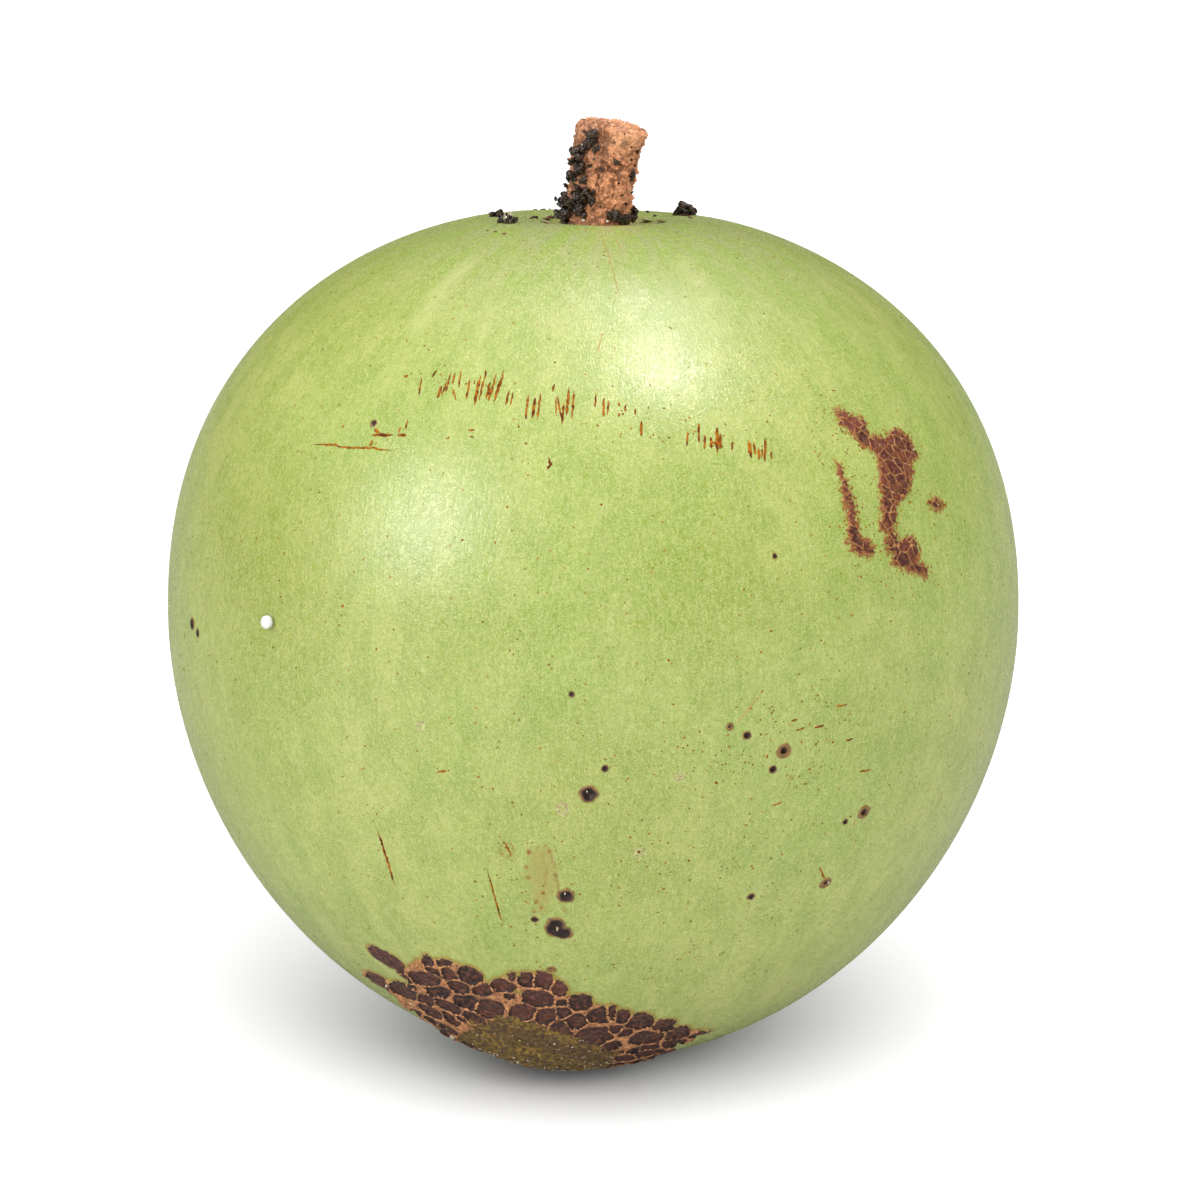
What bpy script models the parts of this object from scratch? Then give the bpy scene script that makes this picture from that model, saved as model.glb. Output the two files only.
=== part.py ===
# Star apple: the whole fruit with a stub of its stalk, resting on a small flat spot.
# Dimensions are in millimetres and degrees, and the finished meshes in metres, +Z up.
# The origin is the middle of the flat spot. The marked side faces -Y, with +X on its right.
import math

import bmesh
import bpy
import numpy as np
from mathutils import Vector, noise
from mathutils.geometry import delaunay_2d_cdt

MM = 0.001
GAP = 0.3                    # between pieces that touch
GOLDEN_ANGLE = math.pi * (3 - math.sqrt(5))
SPIRAL_STEP = 0.54           # a golden-angle spiral's step for points one unit apart

# Body: two half superellipsoids on the stalk's axis, with a hollow at the stalk and a blunt tip
HALF_WIDTH = 40.0
TOP_HEIGHT, TOP_POWER = 37.6, 2.2
BOTTOM_HEIGHT, BOTTOM_POWER = 42.9, 1.94
STALK_BACK, STALK_RIGHT = 7.1, 0.8
HOLLOW_DEPTH, HOLLOW_WIDTH = 4.0, 5.8
TIP_FRONT, TIP_LEFT = 28.0, 7.0
TIP_RISE, TIP_WIDTH = 1.65, 8.0
FLAT_RADIUS, FLAT_SIDES = 6.0, 24
RELIEF_FREE = (7.0, 11.0)    # the relief fades out between these distances from the origin
SKIN_SPACING = 3.5
SHOULDER_REACH = 18.0
HOLLOW_RINGS = [(4.1, 20), (5.3, 22), (6.8, 24), (8.6, 26), (10.7, 28), (13.2, 30)]

# Stalk: a round stub in a socket, bent towards +X, cut across at the top
SOCKET_RADIUS, SOCKET_DEPTH, SOCKET_SIDES = 3.2, 3.0, 24
STALK_HEIGHT = 11.95
STALK_RADIUS_FOOT, STALK_RADIUS_TOP = 2.88, 3.25
STALK_LEAN, STALK_BEND = -0.04, 0.0117
STALK_SIDES, STALK_STEP = 26, 0.6
BARK_RELIEF, BARK_SCALES = 0.22, (0.55, 1.3)
BARK_START = (1.0, 3.5)      # the bark's relief grows between these heights
CUT_DOME, CUT_RELIEF, CUT_SCALE = 0.35, 0.25, 0.8
CUT_RINGS = (0.93, 0.7, 0.42)

# Blossom scar: crusty plates in a raised net round an olive, grainy middle
SCAR_CELL = 3.3
SCAR_SEEDS, SCAR_JITTER, SCAR_REACH = 230, 0.2, 26.0
SCAR_OUTLINE = [(-180, 12.5), (-140, 13.0), (-105, 14.0), (-84, 15.0), (-78, 18.2), (-72, 16.8),
                (-50, 20.0), (-44, 17.4), (-28, 18.4), (-10, 16.0), (14, 17.2), (30, 14.2), (50, 13.1),
                (72, 14.4), (96, 15.9), (110, 11.8), (145, 11.6), (180, 12.5)]
NET_HEIGHT, NET_WIDTH, PLATE_HEIGHT = 0.42, 0.4, 0.08
RIDGE_STEP, PLATE_SHARE = 1.0, 0.62
MIDDLE_RADIUS = 8.0
GRAIN_SPACING, GRAIN_HEIGHT, GRAIN_SCALE = 0.95, 0.22, 1.7

# Warts as azimuth from -Y towards +X, elevation seen from the body's middle, and radius
WARTS = [(-0.6, -9.6, 0.85), (-5.3, -31.4, 0.95), (-3.7, -25.1, 0.7), (25.4, -5.3, 0.65), (19.9, -2.6, 0.4),
         (23.9, -7.7, 0.4), (39.5, -16.4, 0.65), (36.7, -17.2, 0.35), (35.9, -26.8, 0.55), (23.5, -27.0, 0.4)]
WART_HEIGHT, WART_PIT, WART_SIDES = 0.22, 0.12, 8
WART_RIM, WART_FOOT = 0.9, 1.9
WART_RIM_WIDTH, WART_PIT_WIDTH = 0.4, 0.5

# Scab: strokes in the skin's own plane round a middle, x towards +X, y upwards, and half width
SCAB_MIDDLE = (45.4, 25.7)
SCAB_STROKES = [((-1.2, 8.0), (1.5, 4.2), 0.7), ((1.5, 4.2), (4.9, 4.2), 1.0),
                ((4.9, 3.4), (1.9, 0.4), 1.2), ((1.9, 0.4), (-0.7, -3.2), 1.1),
                ((-0.7, -3.2), (1.3, -6.0), 1.1), ((1.3, -6.0), (3.2, -8.2), 0.8),
                ((-3.9, 2.7), (-5.1, -2.3), 0.5), ((-5.1, -2.3), (-4.0, -4.9), 0.8),
                ((6.4, -2.3), (7.9, -2.7), 0.4)]
SCAB_HEIGHT, SCAB_SPACING, SCAB_SCALE, SCAB_REACH = 0.25, 0.9, 0.8, 12.0

# White bead on the skin: azimuth, elevation and radius
BEAD_AZIMUTH, BEAD_ELEVATION, BEAD_RADIUS = -46.1, 8.0, 0.61

# Crumbs on the stalk: angle round it from -Y towards +X, height above the hollow's floor, and radius
CRUMBS_STEM_LEFT = [(-30, 10.6, 0.62), (-33, 9.9, 0.6), (-48, 9.3, 0.75), (-40, 8.7, 0.65), (-58, 8.4, 0.6),
                    (-44, 7.5, 0.75), (-58, 6.7, 0.7), (-36, 6.6, 0.6), (-30, 5.7, 0.75), (-17, 5.4, 0.5),
                    (-46, 5.2, 0.75), (-15, 4.6, 0.5), (-78, 4.9, 0.7), (-82, 4.0, 0.9), (-84, 3.0, 1.0),
                    (-60, 4.0, 0.8), (-52, 3.2, 0.85), (-32, 4.0, 0.7), (-34, 3.1, 0.75), (-66, 5.8, 0.6)]
CRUMBS_STEM_RIGHT = [(23, 3.6, 0.6), (32, 3.2, 0.6), (42, 2.9, 0.65), (54, 2.9, 0.65), (66, 3.0, 0.65),
                     (80, 3.2, 0.6), (79, 3.8, 0.45)]
# Crumbs on the shoulder: angle round the stalk's axis, distance from it, and radius
CRUMBS_RIM_RIGHT = [(124, 9.4, 0.7), (119, 9.0, 0.7), (117, 9.9, 0.55)]
CRUMBS_RIM_LEFT = [(-53, 10.5, 0.55), (-49, 10.7, 0.5)]
CRUMBS_RIM_LEFT_FAR = [(-85, 9.4, 0.5), (-80, 9.3, 0.45)]
CRUMB_ROUGHNESS, CRUMB_SCALE = 0.56, 1.6
CRUMB_LIFT = 0.35            # share of a crumb's radius that its middle stands above the gap
CRUMB_MERGE = 0.002

COLOURS = {
    "skin": ((0.43, 0.52, 0.155), 0.38),
    "bark": ((0.42, 0.19, 0.085), 0.8),
    "grit": ((0.018, 0.012, 0.009), 0.45),
    "bead": ((0.84, 0.83, 0.78), 0.35),
}


# Helpers

def unit(vector):
    vector = np.asarray(vector, float)
    return vector / np.linalg.norm(vector, axis=-1, keepdims=True)


def from_angles(azimuth, elevation):
    azimuth, elevation = math.radians(azimuth), math.radians(elevation)
    return np.array([math.sin(azimuth) * math.cos(elevation),
                     -math.cos(azimuth) * math.cos(elevation), math.sin(elevation)])


def smooth_step(low, high, value):
    share = np.clip((np.asarray(value, float) - low) / (high - low), 0, 1)
    return share * share * (3 - 2 * share)


def lean(back, right, sign=1):
    return unit([sign * math.tan(math.radians(right)), sign * math.tan(math.radians(back)), sign])


STALK_AXIS = lean(STALK_BACK, STALK_RIGHT)
STALK_SIDE = unit(np.array([1.0, 0, 0]) - STALK_AXIS * STALK_AXIS[0])
STALK_FRONT = np.cross(STALK_SIDE, STALK_AXIS)
TIP_AXIS = lean(TIP_FRONT, TIP_LEFT, -1)


class SkinPlane:
    """Flat coordinates on the skin round one direction: x towards +X, y upwards, true to distance."""

    def __init__(self, middle):
        self.middle = unit(middle)
        self.right = unit(np.cross([0, 0, 1.0], self.middle))
        self.up = np.cross(self.middle, self.right)
        self.reach = body_radius(self.middle[None])[0]

    def directions(self, points):
        points = np.atleast_2d(points).astype(float)
        distance = np.hypot(points[:, 0], points[:, 1])
        angle = distance / self.reach
        across = points / np.maximum(distance, 1e-9)[:, None]
        outwards = across[:, :1] * self.right + across[:, 1:] * self.up
        return np.cos(angle)[:, None] * self.middle + np.sin(angle)[:, None] * outwards

    def points(self, directions):
        angle = np.arccos(np.clip(directions @ self.middle, -1, 1))
        across = np.stack([directions @ self.right, directions @ self.up], 1)
        length = np.maximum(np.linalg.norm(across, axis=1), 1e-9)
        return across * (angle * self.reach / length)[:, None]


# Body

def body_radius(directions):
    along = directions @ STALK_AXIS
    across = np.sqrt(np.maximum(0, 1 - along * along))
    power = np.where(along > 0, TOP_POWER, BOTTOM_POWER)
    height = np.where(along > 0, TOP_HEIGHT, BOTTOM_HEIGHT)
    radius = ((across / HALF_WIDTH) ** power + (np.abs(along) / height) ** power) ** (-1 / power)
    hollow = HOLLOW_DEPTH * np.exp(-(radius * across / HOLLOW_WIDTH) ** 2)
    from_tip = np.arccos(np.clip(directions @ TIP_AXIS, -1, 1)) * BOTTOM_HEIGHT
    tip = TIP_RISE * np.exp(-(from_tip / TIP_WIDTH) ** 2)
    return radius - np.where(along > 0, hollow, 0) + tip


def level_section(level, middle, sides):
    """The points where a level plane cuts the body, at even turns round a middle."""
    turns = np.arange(sides) * 2 * math.pi / sides
    outwards = np.stack([np.cos(turns), np.sin(turns), np.zeros(sides)], 1)
    start = np.array([middle[0], middle[1], level])
    near, far = np.zeros(sides), np.full(sides, HALF_WIDTH / 2)
    for _ in range(40):
        half = (near + far) / 2
        points = start + outwards * half[:, None]
        outside = np.linalg.norm(points, axis=1) > body_radius(unit(points))
        near, far = np.where(outside, near, half), np.where(outside, half, far)
    return start + outwards * near[:, None]


def find_flat():
    """The level plane that cuts off a spot of the wanted radius, as the spot's middle."""
    level, middle = -BOTTOM_HEIGHT, np.zeros(2)
    for _ in range(6):
        low, high = -BOTTOM_HEIGHT - TIP_RISE, -BOTTOM_HEIGHT * 0.9
        for _ in range(30):
            level = (low + high) / 2
            reach = np.linalg.norm(level_section(level, middle, FLAT_SIDES)[:, :2] - middle, axis=1).mean()
            low, high = (level, high) if reach < FLAT_RADIUS else (low, level)
        middle = level_section(level, middle, FLAT_SIDES)[:, :2].mean(axis=0)
    return np.array([middle[0], middle[1], level])


CENTRE = -find_flat()
STALK_FOOT = CENTRE + STALK_AXIS * body_radius(STALK_AXIS[None])[0]


# Relief

def stroke_distance(points, start, end):
    start, end = np.array(start), np.array(end)
    along = np.clip((points - start) @ (end - start) / ((end - start) @ (end - start)), 0, 1)
    return np.linalg.norm(points - start - along[:, None] * (end - start), axis=1)


def scar_outline(points):
    angle = np.degrees(np.arctan2(points[:, 0], points[:, 1]))
    turns, reaches = zip(*SCAR_OUTLINE)
    return np.interp(angle, turns, reaches)


def scar_seeds():
    """A golden-angle spiral of seeds, jittered, and which of them grow a plate."""
    draw = np.random.RandomState(7)
    steps = np.arange(SCAR_SEEDS)
    reach = SCAR_CELL * SPIRAL_STEP * np.sqrt(steps + 0.5)
    seeds = np.stack([reach * np.cos(steps * GOLDEN_ANGLE), reach * np.sin(steps * GOLDEN_ANGLE)], 1)
    seeds += draw.uniform(-SCAR_JITTER, SCAR_JITTER, seeds.shape) * SCAR_CELL
    reach = np.linalg.norm(seeds, axis=1)
    plates = (reach > MIDDLE_RADIUS + SCAR_CELL * 0.3) & (reach < scar_outline(seeds) - SCAR_CELL * 0.3)
    return seeds, plates


SCAR_PLANE = SkinPlane(TIP_AXIS)
SCAB_PLANE = SkinPlane(from_angles(*SCAB_MIDDLE))
SEEDS, PLATES = scar_seeds()


def net_relief(points):
    """Ridges along the borders of the plates, and the plates a little above the skin."""
    distance = ((points[:, None] - SEEDS[None]) ** 2).sum(axis=2)
    order = np.argsort(distance, axis=1)[:, :6]
    nearest = order[:, 0]
    border = np.full(len(points), np.inf)
    on_scar = np.zeros(len(points), bool)
    for rank in range(1, order.shape[1]):
        other = order[:, rank]
        apart = np.linalg.norm(SEEDS[other] - SEEDS[nearest], axis=1)
        rows = np.arange(len(points))
        gap = (distance[rows, other] - distance[rows, nearest]) / (2 * apart)
        touches = PLATES[other] | PLATES[nearest]
        border = np.where(touches, np.minimum(border, gap), border)
        on_scar |= touches & (gap < NET_WIDTH * 3)
    ridge = NET_HEIGHT * np.exp(-(border / NET_WIDTH) ** 2)
    return np.where(on_scar, ridge, 0) + np.where(PLATES[nearest], PLATE_HEIGHT, 0)


def grain_relief(points):
    inside = smooth_step(MIDDLE_RADIUS + 0.5, MIDDLE_RADIUS - 0.5, np.linalg.norm(points, axis=1))
    grain = np.array([noise.noise(Vector((x, y, 0)) * GRAIN_SCALE) for x, y in points])
    return inside * GRAIN_HEIGHT * (0.5 + grain)


def scab_relief(points):
    height = np.zeros(len(points))
    for start, end, half_width in SCAB_STROKES:
        beyond = stroke_distance(points, start, end) - half_width
        height = np.maximum(height, SCAB_HEIGHT * smooth_step(0.4, -0.1, beyond))
    crack = np.array([noise.noise(Vector((x, y, 9.0)) * SCAB_SCALE) for x, y in points])
    return height * (1 + 0.6 * crack)


def relief(directions):
    height = np.zeros(len(directions))
    near_scar = directions @ TIP_AXIS > math.cos(SCAR_REACH / BOTTOM_HEIGHT)
    if near_scar.any():
        points = SCAR_PLANE.points(directions[near_scar])
        height[near_scar] += net_relief(points) + grain_relief(points)
    near_scab = directions @ SCAB_PLANE.middle > math.cos(SCAB_REACH / HALF_WIDTH)
    if near_scab.any():
        height[near_scab] += scab_relief(SCAB_PLANE.points(directions[near_scab]))
    for azimuth, elevation, radius in WARTS:
        away = np.arccos(np.clip(directions @ from_angles(azimuth, elevation), -1, 1)) * HALF_WIDTH / radius
        height += WART_HEIGHT * np.exp(-((away - WART_RIM) / WART_RIM_WIDTH) ** 2)
        height -= WART_PIT * np.exp(-(away / WART_PIT_WIDTH) ** 2)
    return height


def skin_points(directions, offset=0.0):
    points = CENTRE + directions * (body_radius(directions) + offset)[:, None]
    fade = smooth_step(RELIEF_FREE[0], RELIEF_FREE[1], np.linalg.norm(points, axis=1))
    points += directions * (relief(directions) * fade)[:, None]
    points[:, 2] = np.maximum(points[:, 2], 0)
    return points


# Places of the skin's points

def clip_cell(outline, keep_point, normal):
    """The part of a convex outline on the inner side of a line."""
    kept = []
    for start, end in zip(outline, np.roll(outline, -1, axis=0)):
        a, b = (start - keep_point) @ normal, (end - keep_point) @ normal
        if a <= 0:
            kept.append(start)
        if (a < 0) != (b < 0) and a != b:
            kept.append(start + (end - start) * a / (a - b))
    return np.array(kept)


def plate_outline(index):
    seed = SEEDS[index]
    size = SCAR_CELL * 1.4
    outline = seed + np.array([(-size, -size), (size, -size), (size, size), (-size, size)])
    for other in np.argsort(((SEEDS - seed) ** 2).sum(axis=1))[1:16]:
        outline = clip_cell(outline, (seed + SEEDS[other]) / 2, SEEDS[other] - seed)
    return outline


def scar_places():
    """Ridge lines, plate rims and plate middles of the scar."""
    ridge, plate = [], []
    for index in np.flatnonzero(PLATES):
        outline = plate_outline(index)
        plate.append(SEEDS[index])
        for start, end in zip(outline, np.roll(outline, -1, axis=0)):
            parts = max(1, round(np.linalg.norm(end - start) / RIDGE_STEP))
            ridge += [start + (end - start) * step / parts for step in range(parts)]
            plate.append(SEEDS[index] + (start - SEEDS[index]) * PLATE_SHARE)
    return SCAR_PLANE.directions(ridge), SCAR_PLANE.directions(plate)


def grain_places():
    steps = np.arange(int((MIDDLE_RADIUS / (GRAIN_SPACING * SPIRAL_STEP)) ** 2))
    reach = GRAIN_SPACING * SPIRAL_STEP * np.sqrt(steps + 0.5)
    turns = steps * GOLDEN_ANGLE
    return SCAR_PLANE.directions(np.stack([reach * np.cos(turns), reach * np.sin(turns)], 1))


def wart_places():
    places = []
    for azimuth, elevation, radius in WARTS:
        plane = SkinPlane(from_angles(azimuth, elevation))
        places.append(plane.middle[None])
        for ring in (WART_RIM, WART_FOOT):
            turns = (np.arange(WART_SIDES) + ring) * 2 * math.pi / WART_SIDES
            places.append(plane.directions(np.stack([np.cos(turns), np.sin(turns)], 1) * radius * ring))
    return np.concatenate(places)


def scab_places():
    rows = np.arange(-11, 11, SCAB_SPACING * 0.87)
    grid = np.array([(x + SCAB_SPACING / 2 * (row % 2), y) for row, y in enumerate(rows)
                     for x in np.arange(-8, 10, SCAB_SPACING)])
    near = np.min([stroke_distance(grid, start, end) - half for start, end, half in SCAB_STROKES], axis=0)
    return SCAB_PLANE.directions(grid[near < SCAB_SPACING * 0.7])


def hollow_places():
    places = []
    for distance, sides in HOLLOW_RINGS:
        turns = (np.arange(sides) + 0.5) * 2 * math.pi / sides
        across = np.cos(turns)[:, None] * STALK_SIDE + np.sin(turns)[:, None] * STALK_FRONT
        angle = distance / TOP_HEIGHT
        places.append(math.cos(angle) * STALK_AXIS + math.sin(angle) * across)
    return unit(np.concatenate(places))


def socket_ring():
    """Where the socket's wall meets the skin."""
    turns = np.arange(SOCKET_SIDES) * 2 * math.pi / SOCKET_SIDES
    across = np.cos(turns)[:, None] * STALK_SIDE + np.sin(turns)[:, None] * STALK_FRONT
    ring = STALK_FOOT + across * SOCKET_RADIUS
    for _ in range(12):
        short = body_radius(unit(ring - CENTRE)) - np.linalg.norm(ring - CENTRE, axis=1)
        ring = ring + STALK_AXIS * short[:, None]
    return ring


def filler_places():
    count = round(4 * math.pi * HALF_WIDTH ** 2 / (0.866 * SKIN_SPACING ** 2))
    heights = 1 - 2 * (np.arange(count) + 0.5) / count
    turns = np.arange(count) * GOLDEN_ANGLE
    across = np.sqrt(1 - heights ** 2)
    return np.stack([across * np.cos(turns), across * np.sin(turns), heights], 1)


def gather_places():
    """Directions for the skin's points, the finest features first, each kept clear of those before."""
    ridge, plate = scar_places()
    flat = level_section(-CENTRE[2], -CENTRE[:2], FLAT_SIDES)
    kept = np.concatenate([unit(socket_ring() - CENTRE), unit(flat)])
    groups = [(ridge, 0.3), (plate, 0.42), (wart_places(), 0.25), (scab_places(), 0.6),
              (hollow_places(), 0.8), (grain_places(), 0.6), (filler_places(), SKIN_SPACING * 0.66)]
    socket_reach = SOCKET_RADIUS + 0.4
    for places, clearance in groups:
        for place in places:
            from_axis = np.linalg.norm(np.cross(place, STALK_AXIS)) * TOP_HEIGHT
            near_socket = place @ STALK_AXIS > 0 and from_axis < socket_reach
            point = CENTRE + place * body_radius(place[None])[0]
            near_flat = point[2] < 1 and np.hypot(point[0], point[1]) < FLAT_RADIUS + 1.2
            apart = np.linalg.norm(kept - place, axis=1).min() * HALF_WIDTH
            if apart > clearance and not near_socket and not near_flat:
                kept = np.vstack([kept, place])
    return kept


def triangulate(directions):
    """Delaunay triangles on the sphere, by stereographic projection from the stalk's end."""
    scale = 1 / (1 - directions @ STALK_AXIS)
    flat = [Vector((x, y)) for x, y in zip(directions @ STALK_SIDE * scale, directions @ STALK_FRONT * scale)]
    first = SOCKET_SIDES
    edges = [(first + step, first + (step + 1) % FLAT_SIDES) for step in range(FLAT_SIDES)]
    return delaunay_2d_cdt(flat, edges, [], 0, 1e-7)[2]


# Meshes

def make_mesh(name, points, faces):
    mesh = bpy.data.meshes.new(name)
    build = bmesh.new()
    corners = [build.verts.new(Vector(point) * MM) for point in points]
    for face in faces:
        build.faces.new([corners[index] for index in face])
    bmesh.ops.recalc_face_normals(build, faces=build.faces)
    if build.calc_volume(signed=True) < 0:
        bmesh.ops.reverse_faces(build, faces=build.faces)
    build.to_mesh(mesh)
    build.free()
    mesh.shade_smooth()
    mesh.set_sharp_from_angle(angle=math.radians(50))
    return mesh


def make_material(name):
    colour, roughness = COLOURS[name]
    material = bpy.data.materials.new(name)
    material.use_nodes = True
    shader = material.node_tree.nodes["Principled BSDF"]
    shader.inputs["Base Color"].default_value = (*colour, 1)
    shader.inputs["Roughness"].default_value = roughness
    shader.inputs["Metallic"].default_value = 0
    material.diffuse_color = (*colour, 1)
    return material


def add_object(name, mesh, material):
    piece = bpy.data.objects.new(name, mesh)
    bpy.context.scene.collection.objects.link(piece)
    piece.data.materials.append(material)
    return piece


def fruit_mesh(places, triangles):
    points = skin_points(places)
    ring = socket_ring()
    points[:SOCKET_SIDES] = ring
    points[SOCKET_SIDES:SOCKET_SIDES + FLAT_SIDES, 2] = 0
    floor_middle = STALK_FOOT - STALK_AXIS * SOCKET_DEPTH
    floor = ring - ((ring - floor_middle) @ STALK_AXIS)[:, None] * STALK_AXIS
    first = len(points)
    faces = list(triangles)
    for step in range(SOCKET_SIDES):
        after = (step + 1) % SOCKET_SIDES
        faces.append((step, after, first + after, first + step))
        faces.append((first + step, first + after, first + SOCKET_SIDES))
    return make_mesh("fruit", np.vstack([points, floor, floor_middle]), faces)


def shoulder_block(places, triangles):
    """The fruit's top, grown by the gap and closed to the body's middle, to cut crumbs clear of it."""
    points = skin_points(places, GAP)
    near = places @ STALK_AXIS > math.cos(SHOULDER_REACH / TOP_HEIGHT)
    faces = [tuple(face) for face in triangles if all(near[index] for index in face)]
    faces += [(step, (step + 1) % SOCKET_SIDES, len(points) + 1) for step in range(SOCKET_SIDES)]
    edges = {}
    for face in faces:
        for start, end in zip(face, face[1:] + face[:1]):
            key = (min(start, end), max(start, end))
            edges[key] = edges.get(key, 0) + 1
    faces += [(start, end, len(points)) for (start, end), uses in edges.items() if uses == 1]
    everything = np.vstack([points, CENTRE, STALK_FOOT + STALK_AXIS * GAP])
    used = sorted({index for face in faces for index in face})
    renumber = {index: step for step, index in enumerate(used)}
    return make_mesh("shoulder", everything[used], [[renumber[index] for index in face] for face in faces])


def stalk_middle(height):
    above = max(height, 0.0)
    return STALK_FOOT + STALK_AXIS * height + STALK_SIDE * (STALK_LEAN * above + STALK_BEND * above ** 2)


def stalk_radius(height):
    share = min(max(height / STALK_HEIGHT, 0.0), 1.0)
    return STALK_RADIUS_FOOT + (STALK_RADIUS_TOP - STALK_RADIUS_FOOT) * share


def stalk_point(height, turn, share=1.0, offset=0.0):
    """A point of the stalk: turn from -Y towards +X, share of the radius from the middle outwards."""
    outwards = math.sin(turn) * STALK_SIDE + math.cos(turn) * STALK_FRONT
    point = stalk_middle(height) + outwards * (stalk_radius(height) * share)
    coarse, fine = (noise.noise(Vector(point * scale)) for scale in BARK_SCALES)
    bumps = BARK_RELIEF * (coarse + 0.8 * fine) * float(smooth_step(*BARK_START, height)) * share
    return point + outwards * (bumps + offset)


def stalk_mesh(offset=0.0):
    root = -(SOCKET_DEPTH - GAP) if offset == 0 else -SOCKET_DEPTH
    levels = np.linspace(root, STALK_HEIGHT + offset, round((STALK_HEIGHT - root) / STALK_STEP))
    turns = np.arange(STALK_SIDES) * 2 * math.pi / STALK_SIDES
    rings = [[stalk_point(level, turn, 1.0, offset) for turn in turns] for level in levels]
    for share in CUT_RINGS:
        rings.append([cut_point(turn, share, offset) for turn in turns])
    points = [point for ring in rings for point in ring]
    points = [stalk_middle(root)] + points + [cut_point(0.0, 0.0, offset)]
    faces = []
    for ring in range(len(rings) - 1):
        for side in range(STALK_SIDES):
            after = (side + 1) % STALK_SIDES
            a, b = 1 + ring * STALK_SIDES + side, 1 + ring * STALK_SIDES + after
            faces.append((a, b, b + STALK_SIDES))
            faces.append((a, b + STALK_SIDES, a + STALK_SIDES))
    last = len(points) - 1
    for side in range(STALK_SIDES):
        after = (side + 1) % STALK_SIDES
        faces.append((0, 1 + after, 1 + side))
        faces.append((last - STALK_SIDES + side, last - STALK_SIDES + after, last))
    return make_mesh("stem", points, faces)


def cut_point(turn, share, offset):
    """A point of the rough cut: a low dome with dents."""
    height = STALK_HEIGHT + CUT_DOME * (1 - share ** 2) + offset
    point = stalk_point(STALK_HEIGHT, turn, share) + STALK_AXIS * (height - STALK_HEIGHT)
    dents = noise.noise(Vector(point * CUT_SCALE)) * CUT_RELIEF * min(1.0, 2.5 * (1 - share))
    return point + STALK_AXIS * dents


def crumb_mesh(place, radius, seed):
    build = bmesh.new()
    bmesh.ops.create_icosphere(build, subdivisions=2, radius=1)
    shift = Vector((seed * 3.7, seed * 1.3, 0))
    points = []
    for corner in build.verts:
        bump = 1 + CRUMB_ROUGHNESS * noise.noise(corner.co * CRUMB_SCALE + shift)
        points.append(np.array(place) + np.array(corner.co) * radius * bump)
    faces = [[corner.index for corner in face.verts] for face in build.faces]
    build.free()
    return make_mesh("crumb", points, faces)


def apply_boolean(piece, operation, operand):
    modifier = piece.modifiers.new(operation, "BOOLEAN")
    modifier.operation = operation
    modifier.solver = "EXACT"
    if isinstance(operand, bpy.types.Collection):
        modifier.operand_type = "COLLECTION"
        modifier.collection = operand
    else:
        modifier.object = operand
    finished = bpy.data.meshes.new_from_object(piece.evaluated_get(bpy.context.evaluated_depsgraph_get()))
    piece.modifiers.clear()
    piece.data = finished


def keep_largest(piece):
    """Drops loose scraps that the cuts left."""
    build = bmesh.new()
    build.from_mesh(piece.data)
    bmesh.ops.remove_doubles(build, verts=build.verts, dist=CRUMB_MERGE * MM)
    bmesh.ops.triangulate(build, faces=build.faces)
    unseen, groups = set(build.verts), []
    while unseen:
        group, front = set(), [unseen.pop()]
        while front:
            corner = front.pop()
            group.add(corner)
            for edge in corner.link_edges:
                other = edge.other_vert(corner)
                if other in unseen:
                    unseen.remove(other)
                    front.append(other)
        groups.append(group)
    largest = max(groups, key=len)
    bmesh.ops.delete(build, geom=[corner for corner in build.verts if corner not in largest], context="VERTS")
    build.to_mesh(piece.data)
    build.free()
    piece.data.shade_smooth()


def add_crumbs(name, places, cutters, material):
    """Crumbs that cling together: fused, then cut clear of what they lie on."""
    lumps = bpy.data.collections.new(name)
    bpy.context.scene.collection.children.link(lumps)
    piece = add_object(name, crumb_mesh(places[0][0], places[0][1], 0), material)
    for seed, (place, radius) in enumerate(places[1:], 1):
        lump = bpy.data.objects.new(name + "_lump", crumb_mesh(place, radius, seed))
        lumps.objects.link(lump)
    if len(places) > 1:
        apply_boolean(piece, "UNION", lumps)
    for lump in list(lumps.objects):
        bpy.data.objects.remove(lump)
    bpy.data.collections.remove(lumps)
    for cutter in cutters:
        apply_boolean(piece, "DIFFERENCE", cutter)
    keep_largest(piece)
    return piece


def on_stalk(angle, height, radius):
    return stalk_point(height, math.radians(angle), 1.0, GAP + radius * CRUMB_LIFT), radius


def on_shoulder(angle, distance, radius):
    turn = math.radians(angle)
    across = math.sin(turn) * STALK_SIDE + math.cos(turn) * STALK_FRONT
    direction = unit(STALK_AXIS * math.cos(distance / TOP_HEIGHT) + across * math.sin(distance / TOP_HEIGHT))
    return CENTRE + direction * (body_radius(direction[None])[0] + GAP + radius * CRUMB_LIFT), radius


def bead_mesh():
    direction = from_angles(BEAD_AZIMUTH, BEAD_ELEVATION)
    middle = CENTRE + direction * (body_radius(direction[None])[0] + GAP + BEAD_RADIUS)
    build = bmesh.new()
    bmesh.ops.create_icosphere(build, subdivisions=3, radius=BEAD_RADIUS)
    points = [middle + np.array(corner.co) for corner in build.verts]
    faces = [[corner.index for corner in face.verts] for face in build.faces]
    build.free()
    return make_mesh("bead", points, faces)


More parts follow.
